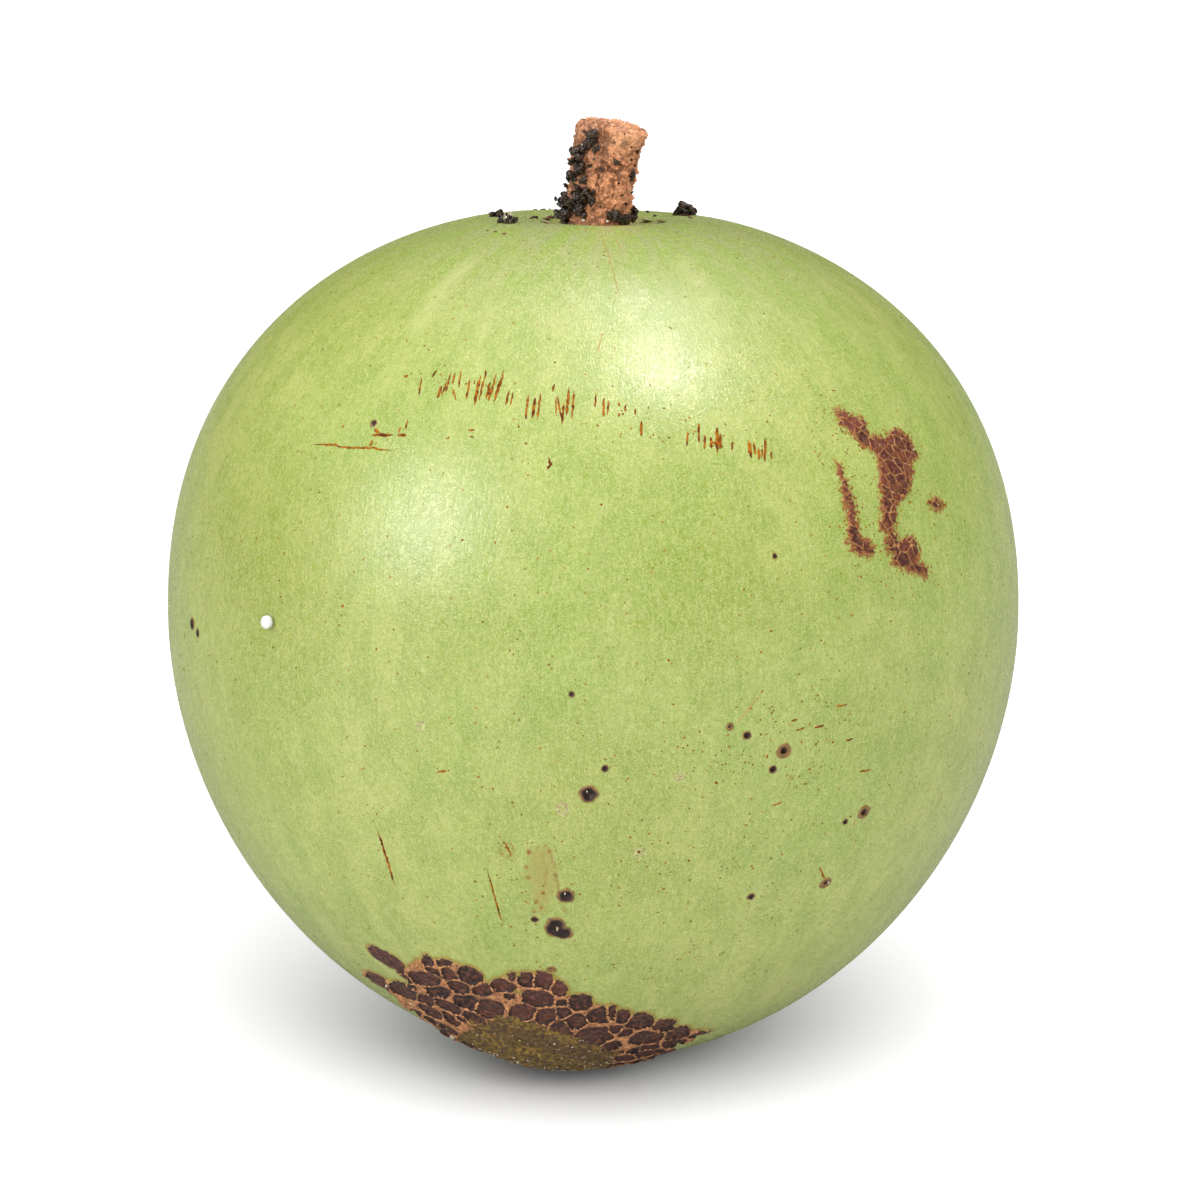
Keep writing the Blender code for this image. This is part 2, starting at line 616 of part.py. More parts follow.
def main():
    for old in list(bpy.data.objects):
        bpy.data.objects.remove(old)
    materials = {name: make_material(name) for name in COLOURS}
    places = gather_places()
    triangles = triangulate(places)
    add_object("fruit", fruit_mesh(places, triangles), materials["skin"])
    add_object("stem", stalk_mesh(), materials["bark"])
    add_object("bead", bead_mesh(), materials["bead"])

    stalk_cutter = add_object("stalk_cutter", stalk_mesh(GAP), materials["bark"])
    shoulder_cutter = add_object("shoulder_cutter", shoulder_block(places, triangles), materials["skin"])
    both = (stalk_cutter, shoulder_cutter)
    for name, crumbs in (("grit_stem_left", CRUMBS_STEM_LEFT), ("grit_stem_right", CRUMBS_STEM_RIGHT)):
        add_crumbs(name, [on_stalk(*crumb) for crumb in crumbs], both, materials["grit"])
    for name, crumbs in (("grit_rim_right", CRUMBS_RIM_RIGHT), ("grit_rim_left", CRUMBS_RIM_LEFT),
                         ("grit_rim_left_far", CRUMBS_RIM_LEFT_FAR)):
        add_crumbs(name, [on_shoulder(*crumb) for crumb in crumbs], (shoulder_cutter,), materials["grit"])
    for cutter in both:
        bpy.data.objects.remove(cutter)


main()
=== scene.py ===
import math

import bpy
import numpy as np
from mathutils import Matrix, Vector, noise


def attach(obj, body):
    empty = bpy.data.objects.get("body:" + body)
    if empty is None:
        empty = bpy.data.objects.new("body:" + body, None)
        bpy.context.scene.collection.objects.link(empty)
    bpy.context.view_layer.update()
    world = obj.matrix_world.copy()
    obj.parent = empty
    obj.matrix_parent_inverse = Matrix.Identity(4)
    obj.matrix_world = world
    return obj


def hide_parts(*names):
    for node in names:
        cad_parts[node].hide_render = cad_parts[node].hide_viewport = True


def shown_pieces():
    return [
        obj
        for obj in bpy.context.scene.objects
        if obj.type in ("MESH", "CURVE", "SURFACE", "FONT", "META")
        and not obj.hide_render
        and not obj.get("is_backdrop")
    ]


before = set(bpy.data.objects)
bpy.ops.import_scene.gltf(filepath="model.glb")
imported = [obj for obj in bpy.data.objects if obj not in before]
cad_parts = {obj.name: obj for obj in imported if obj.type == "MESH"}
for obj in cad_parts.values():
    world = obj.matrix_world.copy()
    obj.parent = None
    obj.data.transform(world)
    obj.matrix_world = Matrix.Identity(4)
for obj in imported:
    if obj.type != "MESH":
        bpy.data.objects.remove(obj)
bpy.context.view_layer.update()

mm = 0.001
goldenAngle = math.pi * (3 - math.sqrt(5))

body = {
    "halfWidth": 40.0,
    "topHeight": 37.6, "topPower": 2.2,
    "bottomHeight": 42.9, "bottomPower": 1.94,
    "stalkBack": 7.1, "stalkRight": 0.8,
    "hollowDepth": 4.0, "hollowWidth": 5.8,
    "tipFront": 28.0, "tipLeft": 7.0, "tipRise": 1.65, "tipWidth": 8.0,
    "flatRadius": 6.0,
}
photo = {"size": 1200, "focal": 6375.8, "elevation": 15.0, "distance": 600.0, "aim": (0.796, 1.504, 42.774)}


# Directions and the body's form

def unit(vector):
    vector = np.asarray(vector, float)
    return vector / np.linalg.norm(vector, axis=-1, keepdims=True)


def smoothStep(low, high, value):
    share = np.clip((np.asarray(value, float) - low) / (high - low), 0, 1)
    return share * share * (3 - 2 * share)


def lean(back, right, sign=1):
    return unit([sign * math.tan(math.radians(right)), sign * math.tan(math.radians(back)), sign])


stalkAxis = lean(body["stalkBack"], body["stalkRight"])
stalkSide = unit(np.array([1.0, 0, 0]) - stalkAxis * stalkAxis[0])
stalkFront = np.cross(stalkSide, stalkAxis)
tipAxis = lean(body["tipFront"], body["tipLeft"], -1)


def bodyRadius(directions):
    along = directions @ stalkAxis
    across = np.sqrt(np.maximum(0, 1 - along * along))
    power = np.where(along > 0, body["topPower"], body["bottomPower"])
    height = np.where(along > 0, body["topHeight"], body["bottomHeight"])
    radius = ((across / body["halfWidth"]) ** power + (np.abs(along) / height) ** power) ** (-1 / power)
    hollow = body["hollowDepth"] * np.exp(-(radius * across / body["hollowWidth"]) ** 2)
    fromTip = np.arccos(np.clip(directions @ tipAxis, -1, 1)) * body["bottomHeight"]
    tip = body["tipRise"] * np.exp(-(fromTip / body["tipWidth"]) ** 2)
    return radius - np.where(along > 0, hollow, 0) + tip


def levelSection(level, middle, sides=24):      # where a level plane cuts the body
    turns = np.arange(sides) * 2 * math.pi / sides
    outwards = np.stack([np.cos(turns), np.sin(turns), np.zeros(sides)], 1)
    start = np.array([middle[0], middle[1], level])
    near, far = np.zeros(sides), np.full(sides, body["halfWidth"] / 2)
    for _ in range(40):
        half = (near + far) / 2
        points = start + outwards * half[:, None]
        outside = np.linalg.norm(points, axis=1) > bodyRadius(unit(points))
        near, far = np.where(outside, near, half), np.where(outside, half, far)
    return start + outwards * near[:, None]


def findFlat():                                 # the middle of the flat spot, seen from the body's middle
    level, middle = -body["bottomHeight"], np.zeros(2)
    for _ in range(6):
        low, high = -body["bottomHeight"] - body["tipRise"], -body["bottomHeight"] * 0.9
        for _ in range(30):
            level = (low + high) / 2
            reach = np.linalg.norm(levelSection(level, middle)[:, :2] - middle, axis=1).mean()
            low, high = (level, high) if reach < body["flatRadius"] else (low, level)
        middle = levelSection(level, middle)[:, :2].mean(axis=0)
    return np.array([middle[0], middle[1], level])


centre = -findFlat()


def skinPoint(direction, lift=0.0):             # one point on the body, or above it
    return centre + direction * (bodyRadius(direction[None])[0] + lift)


def skinPoints(directions):
    return centre + directions * bodyRadius(directions)[:, None]


def nearTo(directions, middle, reach, radius):  # which directions are within a reach along the skin
    return np.flatnonzero(directions @ middle > math.cos(reach / radius))


stalkFoot = skinPoint(stalkAxis)


# The photo's own view, so that a mark can be placed by its pixel

sight = math.radians(photo["elevation"])
sightAhead = np.array([0, math.cos(sight), -math.sin(sight)])
sightUp = np.array([0, math.sin(sight), math.cos(sight)])
eye = np.array(photo["aim"]) - sightAhead * photo["distance"]
pixelsPerMm = photo["focal"] / photo["distance"]


def toPixels(points):
    away = points - eye
    depth = away @ sightAhead
    half = photo["size"] / 2
    return np.stack([half + photo["focal"] * away[:, 0] / depth,
                     half - photo["focal"] * (away @ sightUp) / depth], 1)


def castToSkin(pixels):                         # directions from the body's middle to what pixels show
    pixels = np.atleast_2d(np.asarray(pixels, float))
    half = photo["size"] / 2
    rays = (sightAhead + (pixels[:, :1] - half) / photo["focal"] * np.array([1.0, 0, 0])
            + (half - pixels[:, 1:2]) / photo["focal"] * sightUp)
    steps = np.linspace(photo["distance"] - 50, photo["distance"] + 30, 320)
    away = eye + rays[:, None] * steps[None, :, None] - centre
    outside = np.linalg.norm(away, axis=2) - bodyRadius(unit(away))
    first = np.where((outside < 0).any(axis=1), (outside < 0).argmax(axis=1), outside.argmin(axis=1))
    low, high = steps[np.maximum(first - 1, 0)], steps[first]
    for _ in range(16):
        middle = (low + high) / 2
        away = eye + rays * middle[:, None] - centre
        above = np.linalg.norm(away, axis=1) > bodyRadius(unit(away))
        low, high = np.where(above, middle, low), np.where(above, high, middle)
    return unit(eye + rays * high[:, None] - centre)


# Flat coordinates on the skin round one direction: x towards +X, y upwards, true to distance

def skinPlane(middle):
    middle = unit(middle)
    right = unit(np.cross([0, 0, 1.0], middle))
    return {"middle": middle, "right": right, "up": np.cross(middle, right),
            "reach": bodyRadius(middle[None])[0]}


def onPlane(plane, directions):
    angle = np.arccos(np.clip(directions @ plane["middle"], -1, 1))
    across = np.stack([directions @ plane["right"], directions @ plane["up"]], 1)
    length = np.maximum(np.linalg.norm(across, axis=1), 1e-9)
    return across * (angle * plane["reach"] / length)[:, None]


def fromAngles(azimuth, elevation):             # azimuth from -Y towards +X
    azimuth, elevation = math.radians(azimuth), math.radians(elevation)
    return np.array([math.sin(azimuth) * math.cos(elevation),
                     -math.cos(azimuth) * math.cos(elevation), math.sin(elevation)])


# Noise and outlines

def noiseAt(points, scale, shift=0.0):
    return np.array([noise.noise(Vector(point)) for point in points * scale + shift])


def noiseSum(points, layers):                   # layers of amount, scale and shift
    return sum(amount * noiseAt(points, scale, shift) for amount, scale, shift in layers)


def grainsAt(points, scale, shift=0.0):         # 0 between grains, up to about 1 on them
    nearest = np.array([noise.voronoi(Vector(point))[0][:2] for point in points * scale + shift])
    return np.clip(nearest[:, 1] - nearest[:, 0], 0, 1)


def lineDistance(points, start, end):
    start, end = np.array(start, float), np.array(end, float)
    along = np.clip((points - start) @ (end - start) / max((end - start) @ (end - start), 1e-9), 0, 1)
    return np.linalg.norm(points - start - along[:, None] * (end - start), axis=1)


def pathDistance(points, path):
    return np.min([lineDistance(points, a, b) for a, b in zip(path, path[1:])], axis=0)


def insideDistance(points, outline):            # distance to a closed outline, positive inside it
    outline = np.asarray(outline, float)
    after = np.roll(outline, -1, axis=0)
    distance = np.min([lineDistance(points, a, b) for a, b in zip(outline, after)], axis=0)
    inside = np.zeros(len(points), bool)
    for (x1, y1), (x2, y2) in zip(outline, after):
        if y1 != y2:
            crosses = (y1 > points[:, 1]) != (y2 > points[:, 1])
            inside ^= crosses & (points[:, 0] < x1 + (points[:, 1] - y1) / (y2 - y1) * (x2 - x1))
    return np.where(inside, distance, -distance)


# Meshes

def deselectAll():
    if bpy.context.object and bpy.context.object.mode != "OBJECT":
        bpy.ops.object.mode_set(mode="OBJECT")
    bpy.ops.object.select_all(action="DESELECT")


def coordinatesOf(piece):
    values = np.empty(len(piece.data.vertices) * 3)
    piece.data.vertices.foreach_get("co", values)
    return values.reshape(-1, 3)


def placeVertices(piece, points):               # points in millimetres
    piece.data.vertices.foreach_set("co", (points * mm).ravel())
    piece.data.update()


def selectFaces(piece, chosen):
    mesh = piece.data
    mesh.vertices.foreach_set("select", np.zeros(len(mesh.vertices), bool))
    mesh.edges.foreach_set("select", np.zeros(len(mesh.edges), bool))
    mesh.polygons.foreach_set("select", chosen)
    bpy.context.tool_settings.mesh_select_mode = (False, False, True)


def setAttribute(piece, name, values):
    values = np.asarray(values, float)
    kind = "FLOAT_VECTOR" if values.ndim == 2 else "FLOAT"
    attribute = piece.data.attributes.new(name, kind, "POINT")
    attribute.data.foreach_set("vector" if values.ndim == 2 else "value", values.ravel())


def setAttributes(piece, fields):
    for name, values in fields.items():
        setAttribute(piece, name, values)


def newObject(name, data):
    item = bpy.data.objects.new(name, data)
    bpy.context.scene.collection.objects.link(item)
    return item


def selectOnly(piece):
    deselectAll()
    piece.select_set(True)
    bpy.context.view_layer.objects.active = piece


def finishPiece(piece, name, slotName, material, *nodes):
    piece.name = name
    piece.data.name = name
    piece.data.materials.clear()
    piece.data.materials.append(material)
    selectOnly(piece)
    bpy.ops.object.shade_smooth()
    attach(piece, "root")
    if nodes:
        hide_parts(*nodes)
    return piece


def tileCopies(source, copies):                 # one mesh of many copies, each with its own points
    faces = [list(face.vertices) for face in source.data.polygons]
    count = len(source.data.vertices)
    mesh = bpy.data.meshes.new("copies")
    allFaces = [[index + number * count for index in face] for number in range(len(copies)) for face in faces]
    mesh.from_pydata((np.concatenate(copies) * mm).tolist(), [], allFaces)
    bpy.data.objects.remove(source)
    return newObject("copies", mesh)


# Shader building

def feed(tree, socket, value):
    if isinstance(value, bpy.types.NodeSocket):
        tree.links.new(value, socket)
    elif isinstance(value, tuple) and len(value) == 3 and socket.type == "RGBA":
        socket.default_value = (*value, 1)
    else:
        socket.default_value = value


def addNode(tree, kind, inputs=None, **settings):
    node = tree.nodes.new("ShaderNode" + kind)
    for name, value in settings.items():
        setattr(node, name, value)
    for name, value in (inputs or {}).items():
        feed(tree, node.inputs[name], value)
    return node


def mixColours(tree, share, first, second):
    return addNode(tree, "Mix", {0: share, 6: first, 7: second}, data_type="RGBA").outputs[2]


def calculate(tree, operation, first, second=0.0, clamp=False):
    return addNode(tree, "Math", {0: first, 1: second}, operation=operation, use_clamp=clamp).outputs[0]


def times(tree, first, second, clamp=False):
    return calculate(tree, "MULTIPLY", first, second, clamp)


def plus(tree, first, second):
    return calculate(tree, "ADD", first, second)


def invert(tree, share):
    return calculate(tree, "SUBTRACT", 1.0, share)


def remap(tree, value, low, high, newLow=0.0, newHigh=1.0):
    node = addNode(tree, "MapRange", {0: value, 1: low, 2: high, 3: newLow, 4: newHigh},
                   interpolation_type="SMOOTHSTEP")
    return node.outputs[0]


def layer(tree, under, mask, over, strength=1.0):
    return mixColours(tree, mask if strength == 1 else times(tree, mask, strength), under, over)


def readAttribute(tree, name, vector=False):
    node = addNode(tree, "Attribute", attribute_name=name)
    return node.outputs["Vector" if vector else "Fac"]


def newGroup(name, inputs, outputs):
    tree = bpy.data.node_groups.new(name, "ShaderNodeTree")
    for label, kind, value in inputs:
        socket = tree.interface.new_socket(label, in_out="INPUT", socket_type="NodeSocket" + kind)
        if value is not None:
            socket.default_value = value
    for label, kind in outputs:
        tree.interface.new_socket(label, in_out="OUTPUT", socket_type="NodeSocket" + kind)
    return tree, tree.nodes.new("NodeGroupInput"), tree.nodes.new("NodeGroupOutput")


def makeMottle():                               # soft cloudy mask, stretched along the vector's third axis
    inputs = [("Vector", "Vector", None), ("Scale", "Float", 1.0), ("Stretch", "Float", 1.0),
              ("Detail", "Float", 3.0), ("Warp", "Float", 0.0), ("Low", "Float", 0.35),
              ("High", "Float", 0.65)]
    tree, given, result = newGroup("mottle", inputs, [("Mask", "Float")])
    third = calculate(tree, "DIVIDE", 1.0, given.outputs["Stretch"])
    factors = addNode(tree, "CombineXYZ", {"X": 1.0, "Y": 1.0, "Z": third}).outputs[0]
    place = addNode(tree, "VectorMath", {0: given.outputs["Vector"], 1: factors}, operation="MULTIPLY")
    cloud = addNode(tree, "TexNoise", {"Vector": place.outputs[0], "Scale": given.outputs["Scale"],
                                       "Detail": given.outputs["Detail"],
                                       "Distortion": given.outputs["Warp"]}).outputs[0]
    feed(tree, result.inputs["Mask"], remap(tree, cloud, given.outputs["Low"], given.outputs["High"]))
    return tree


def makeFlecks():                               # round spots of random size, on a share of the cells
    inputs = [("Vector", "Vector", None), ("Scale", "Float", 1.0), ("Radius", "Float", 0.1),
              ("Share", "Float", 0.5)]
    tree, given, result = newGroup("flecks", inputs, [("Mask", "Float"), ("Tone", "Float")])
    cells = addNode(tree, "TexVoronoi", {"Vector": given.outputs["Vector"], "Scale": given.outputs["Scale"]})
    parts = addNode(tree, "SeparateColor", {0: cells.outputs["Color"]})
    size = times(tree, remap(tree, parts.outputs[0], 0.0, 1.0, 0.45, 1.0), given.outputs["Radius"])
    size = times(tree, size, given.outputs["Scale"])
    spot = invert(tree, remap(tree, cells.outputs["Distance"], times(tree, size, 0.55), size))
    shown = calculate(tree, "LESS_THAN", parts.outputs[1], given.outputs["Share"])
    feed(tree, result.inputs["Mask"], times(tree, spot, shown))
    feed(tree, result.inputs["Tone"], parts.outputs[2])
    return tree


groups = {"mottle": makeMottle(), "flecks": makeFlecks()}


def useGroup(tree, name, **inputs):
    node = tree.nodes.new("ShaderNodeGroup")
    node.node_tree = groups[name]
    for label, value in inputs.items():
        feed(tree, node.inputs[label.capitalize()], value)
    return node.outputs


def mottleAt(tree, vector, scale, detail, low=0.35, high=0.65, stretch=1.0, warp=0.0):
    return useGroup(tree, "mottle", vector=vector, scale=scale, detail=detail, low=low, high=high,
                    stretch=stretch, warp=warp)[0]


def newMaterial(name):
    material = bpy.data.materials.new(name)
    material.use_nodes = True
    tree = material.node_tree
    place = addNode(tree, "TexCoord").outputs["Object"]
    scaled = addNode(tree, "VectorMath", {0: place, "Scale": 1 / mm}, operation="SCALE").outputs[0]
    return material, tree, tree.nodes["Principled BSDF"], scaled


def addBump(tree, shader, height, depth):
    bump = addNode(tree, "Bump", {"Height": height, "Distance": depth * mm, "Strength": 1.0})
    feed(tree, shader.inputs["Normal"], bump.outputs[0])


# The crusty marks' own outlines and plates

scar = {
    "plane": skinPlane(tipAxis),
    # the upper edge as the photo shows it, from the left tip round to the right one
    "edge": [(449.5, 1029.5), (439, 1025.5), (425, 1019), (414, 1011), (402, 1003), (397, 995), (384, 988.5),
             (372, 982), (362, 971), (375, 976), (388, 980.5), (405, 986), (409, 983), (404, 975), (392, 969),
             (382, 963), (374, 958), (369, 950), (386, 956), (397, 962), (404, 968), (410, 966), (416, 961),
             (424, 959), (432, 959.5), (440, 961), (446, 960), (457, 964), (467, 968), (474, 970), (481, 974),
             (483, 981), (488, 984),
             (493, 980), (496, 979), (505, 977.5), (512, 975), (519, 977), (527, 973.5), (539, 974),
             (549, 976), (554, 980), (561, 984), (566, 989), (566, 994), (578, 995), (589, 999), (594, 1003),
             (602, 1006), (612, 1005), (617, 1009), (627, 1010.5), (630, 1013.5), (639, 1015), (648, 1015),
             (655, 1019.5), (663, 1022), (675, 1020), (673, 1024), (665, 1027), (675, 1027.5),
             (687, 1026.5), (690, 1030), (709, 1029.5), (699, 1035), (688, 1040), (677, 1043), (670.5, 1047),
             (664, 1053)],
    # the hidden rest: angle from up towards +X, and distance from the tip's middle
    "back": [(124, 11.9), (135, 12.0), (150, 11.4), (170, 12.4), (190, 12.2), (210, 13.2), (232, 12.6),
             (250, 12.4), (262, 11.0), (272, 9.8)],
    "olive": [(-180, 7.4), (-140, 8.0), (-94, 8.4), (-48, 8.2), (-22, 9.1), (-7, 9.8), (3, 9.0), (18, 8.0),
              (37, 6.8), (56, 6.9), (86, 6.9), (130, 7.6), (180, 7.4)],
    # the plates that show: middle, half length, half width, and by how much the length falls to the right
    "plates": [(385.7, 959.1, 20, 5.4, 31), (378, 980.8, 12, 4.1, 32), (403.6, 989.7, 13.4, 4.8, 25),
               (425.3, 977.6, 14, 6.1, 12), (435.5, 970, 7.7, 2.8, 20), (449.5, 973.4, 7.7, 4.6, 30),
               (427.8, 960.4, 5, 3.2, 40), (445, 962.3, 5.7, 1.8, 10), (470.5, 975.1, 11.5, 6.1, 25),
               (406.1, 977.2, 7, 2.6, 30), (438.6, 990, 10.5, 5.7, 12), (459.4, 985.9, 9.6, 4.9, 22),
               (481.4, 987.8, 9, 4.6, 8), (411.2, 984.6, 4.1, 2, 20), (426.5, 998, 7.9, 4.1, 25),
               (447.6, 1004.4, 12.8, 4.5, 30), (467, 1000, 10.5, 6.4, 15), (490, 1008.5, 12.5, 9.4, 16),
               (474.4, 1017.2, 10.8, 4.8, 25), (431.6, 1009.5, 11.5, 3.6, 30), (451.4, 1017.2, 9.6, 3.6, 35),
               (417.6, 1010.8, 5, 2, 20), (462.2, 1017.8, 4.8, 1.8, 40), (432.9, 1018.4, 8.9, 1.8, 28),
               (449.5, 1028, 12, 2, 30), (504.3, 984.4, 10.8, 4.6, 5), (511.6, 975, 3.2, 1.6, 0),
               (510.5, 994.5, 3.2, 2.5, 0), (527, 979, 7, 5.4, 10), (543.6, 979.3, 10, 6, 15),
               (559.5, 987.4, 7.7, 5.1, 45), (538.5, 997, 14, 7.4, 5), (522.5, 1011.2, 11, 7.6, -5),
               (544.9, 1014.8, 9.6, 7.4, -35), (564, 1010.4, 6.1, 5.3, 0), (579.3, 1001.5, 11.5, 6.1, -5),
               (562.7, 1002, 4.5, 2.5, 0), (574.8, 1020, 9.3, 7, -25), (561.5, 1029.5, 10.2, 8.9, 20),
               (600, 1014, 10.5, 6.4, -8), (612, 1012, 6, 5.6, 10), (622.7, 1015.1, 7.6, 5.6, 10),
               (639.9, 1020, 13.4, 6, -5), (664.1, 1024.4, 11.5, 4.3, -8), (594, 1036.5, 17.5, 9.6, -12),
               (615.7, 1028, 6.4, 3.5, 0), (624.3, 1030.2, 5.7, 3, -15), (608, 1045, 12, 4.4, -15),
               (646.3, 1035.9, 15, 5.7, -8), (676.9, 1032, 11, 4.6, -10), (699.8, 1033, 10.2, 2, -10),
               (673, 1040.6, 11, 2.6, -10), (648.8, 1045.2, 9.6, 2.6, -12), (633.5, 1048.5, 6, 2, -15),
               (650, 1050.8, 14, 2.6, -6), (624.6, 1056, 9.6, 2.3, -8), (614.4, 1051.5, 6.4, 1.8, -12),
               (577, 1046.7, 5.7, 2.6, -15), (542.6, 1024.4, 3.2, 2.9, 0), (530, 1022.5, 4, 2.6, 20),
               (494, 1022, 6, 2.6, 25)],
    # the hidden plates: spacing, unevenness, and shape
    "cell": 2.9, "jitter": 0.2, "oval": (0.66, 0.5), "lie": None, "power": 2.5, "grow": 0.36,
    "reach": 24.0, "gap": 0.85, "hiddenBelow": 4.0, "hiddenBeyond": 14.0,
    # noise here and below is in layers of amount, scale and shift
    "warp": ((0.1, 0.8, 3.0), (0.05, 3.0, 5.0), (0.1, 0.8, 17.0), (0.05, 3.0, 29.0)),
    "ragged": [(0.26, 1.9, 1.0)], "edgeFade": (-0.12, 0.2), "fringe": (-0.1, 0.22),
    "pulledFrom": -1.2, "pulledTo": 0.25,         # a plate this near the edge carries the edge out with it
    "netHeight": 0.24, "netWidth": (0.14, 0.24), "netNoise": [(0.5, 1.0, 35.0)],
    "plateHeight": 0.1, "plateNoise": [(0.7, 1.3, 13.0), (0.4, 3.5, 15.0)],
    "fibreStep": 0.2, "fibreHeight": 0.03, "fibreFade": (0.4, 0.1),
    "oliveHeight": 0.2, "oliveFade": (-0.1, 0.5), "oliveNoise": [(0.9, 0.7, 2.0), (0.5, 2.0, 4.0)],
    "slit": [(514, 1043.5), (522, 1046), (530, 1049), (538, 1053)], "slitDepth": 0.35, "slitWidth": 3.0,
    "belt": [(493, 1029), (512, 1034), (535, 1040), (560, 1049), (600, 1057)],
    "beltFade": (9.0, 4.0), "beltNoise": [(4.0, 1.5, 21.0)],
    "island": (518, 991, 4.6), "islandNoise": [(0.4, 1.2, 8.0)],
    "flatFade": (7.0, 11.0),
}
scab = {
    "plane": skinPlane(fromAngles(45.4, 25.7)),
    "outlines": [
        [(836, 409), (843, 410), (849, 414), (857, 416), (864.5, 421), (870, 434), (877, 436), (884, 437.5),
         (890, 432), (898, 428), (905, 433), (911, 439), (914, 448), (919, 456), (912, 463), (914, 470),
         (912, 477), (911, 488), (904.5, 499), (897, 503.5), (896, 511), (896, 520), (894, 533), (901, 540),
         (912, 536), (917, 543), (920, 551), (919, 562), (929, 567), (928, 574), (923.5, 577), (915, 574),
         (907, 570), (898, 567), (892.6, 564), (893, 554), (887, 551), (885, 543), (888, 536), (879, 526),
         (882, 513), (881, 500), (881, 492), (879, 478), (880, 470), (878.6, 459), (873, 451.5), (862, 444.5),
         (853, 436), (843.5, 426), (838, 419)],
        [(837, 463), (841, 465), (843, 471), (846, 478), (850.5, 491), (853, 498), (855, 503.5), (857.5, 520),
         (860, 536), (866, 538), (870, 540), (874, 548), (872, 555), (867, 557), (859, 555), (852, 548),
         (848, 541), (849, 530), (847, 515), (844, 499), (841, 481)],
        [(929, 500), (936, 498), (941, 501), (944, 505), (940, 509.5), (934, 509), (930.5, 504)],
    ],
    "cell": 1.3, "jitter": 0.3, "oval": (0.8, 0.46), "lie": -52.0, "power": 2.0, "grow": 2.0,
    "reach": 12.0, "warp": ((0.12, 0.9, 3.0), (0.04, 3.2, 5.0), (0.12, 0.9, 17.0), (0.04, 3.2, 29.0)),
    "ragged": [(0.48, 2.4, 6.0), (0.456, 4.6, 7.0)], "edgeFade": (-0.15, 0.25), "fringe": (-0.06, 0.15),
    "crackHeight": 0.03, "crackWidth": 0.12,
    "plateHeight": 0.14, "plateNoise": [(0.6, 1.1, 31.0), (0.3, 3.0, 33.0)],
}


def polar(turns, reaches):                      # angle from up towards +X
    turns = np.radians(turns)
    return np.stack([np.sin(turns), np.cos(turns)], 1) * np.asarray(reaches)[:, None]


def spiral(count, step):                        # a golden-angle spiral of points, one step apart
    steps = np.arange(count)
    reach = step * 0.54 * np.sqrt(steps + 0.5)
    return np.stack([reach * np.cos(steps * goldenAngle), reach * np.sin(steps * goldenAngle)], 1)


def shownPlates(crust):                         # the plates' middles, and what turns each to a unit circle
    plane, part = crust["plane"], 0.4
    middles = onPlane(plane, castToSkin([plate[:2] for plate in crust["plates"]]))
    frames = []
    for (x, y, length, width, fall), middle in zip(crust["plates"], middles):
        turn = math.radians(fall)
        ends = [(x + part * length * math.cos(turn), y + part * length * math.sin(turn)),
                (x - part * width * math.sin(turn), y + part * width * math.cos(turn))]
        frames.append(np.linalg.inv((onPlane(plane, castToSkin(ends)) - middle).T / part))
    return middles, np.array(frames)


def scatteredPlates(crust, seed):
    draw = np.random.RandomState(seed)
    middles = spiral(int((crust["reach"] / crust["cell"] / 0.54) ** 2), crust["cell"])
    middles += draw.uniform(-crust["jitter"], crust["jitter"], middles.shape) * crust["cell"]
    frames = []
    for _ in middles:
        lie = draw.uniform(0, 180) if crust["lie"] is None else crust["lie"] + draw.uniform(-14, 14)
        turn = math.radians(lie)
        length, width = (half * crust["cell"] * draw.uniform(0.85, 1.2) for half in crust["oval"])
        across = np.array([[math.cos(turn), -math.sin(turn)], [math.sin(turn), math.cos(turn)]])
        frames.append(np.linalg.inv(across * [length, width]))
    return middles, np.array(frames)


def prepareScar():
    back = polar(*zip(*scar["back"]))
    scar["outline"] = np.vstack([onPlane(scar["plane"], castToSkin(scar["edge"])), back])
    shown, shownFrames = shownPlates(scar)
    rest, restFrames = scatteredPlates(scar, 7)
    apart = np.linalg.norm(rest[:, None] - shown[None], axis=2).min(axis=1)
    hidden = (insideDistance(rest, scar["outline"]) > 0) & (apart > scar["cell"] * scar["gap"])
    hidden &= (rest[:, 1] < scar["hiddenBelow"]) | (np.abs(rest[:, 0]) > scar["hiddenBeyond"])
    scar["middles"] = np.vstack([shown, rest[hidden]])
    scar["frames"] = np.vstack([shownFrames, restFrames[hidden]])


def prepareScab():
    scab["outline"] = [onPlane(scab["plane"], castToSkin(outline)) for outline in scab["outlines"]]
    scab["middles"], scab["frames"] = scatteredPlates(scab, 11)


prepareScar()
prepareScab()


def plateFields(crust, points, spots):          # depth in the nearest plate, negative between, and its number
    warp = crust["warp"]
    bent = points + np.stack([noiseSum(spots, warp[:2]), noiseSum(spots, warp[2:])], 1) * 2
    border, plate = np.empty(len(points)), np.empty(len(points), int)
    for start in range(0, len(points), 4000):
        rows = slice(start, min(start + 4000, len(points)))
        away = bent[rows, None] - crust["middles"][None]
        scaled = np.abs(np.einsum("mij,nmj->nmi", crust["frames"], away)) + 1e-6
        stretch = (scaled ** crust["power"]).sum(axis=2) ** (1 / crust["power"])
        outside = np.linalg.norm(away, axis=2) * (1 - 1 / stretch)
        nearest = np.sort(outside, axis=1)[:, :2]
        border[rows] = np.minimum(crust["grow"] - nearest[:, 0], (nearest[:, 1] - nearest[:, 0]) / 2)
        plate[rows] = outside.argmin(axis=1)
    return border, plate


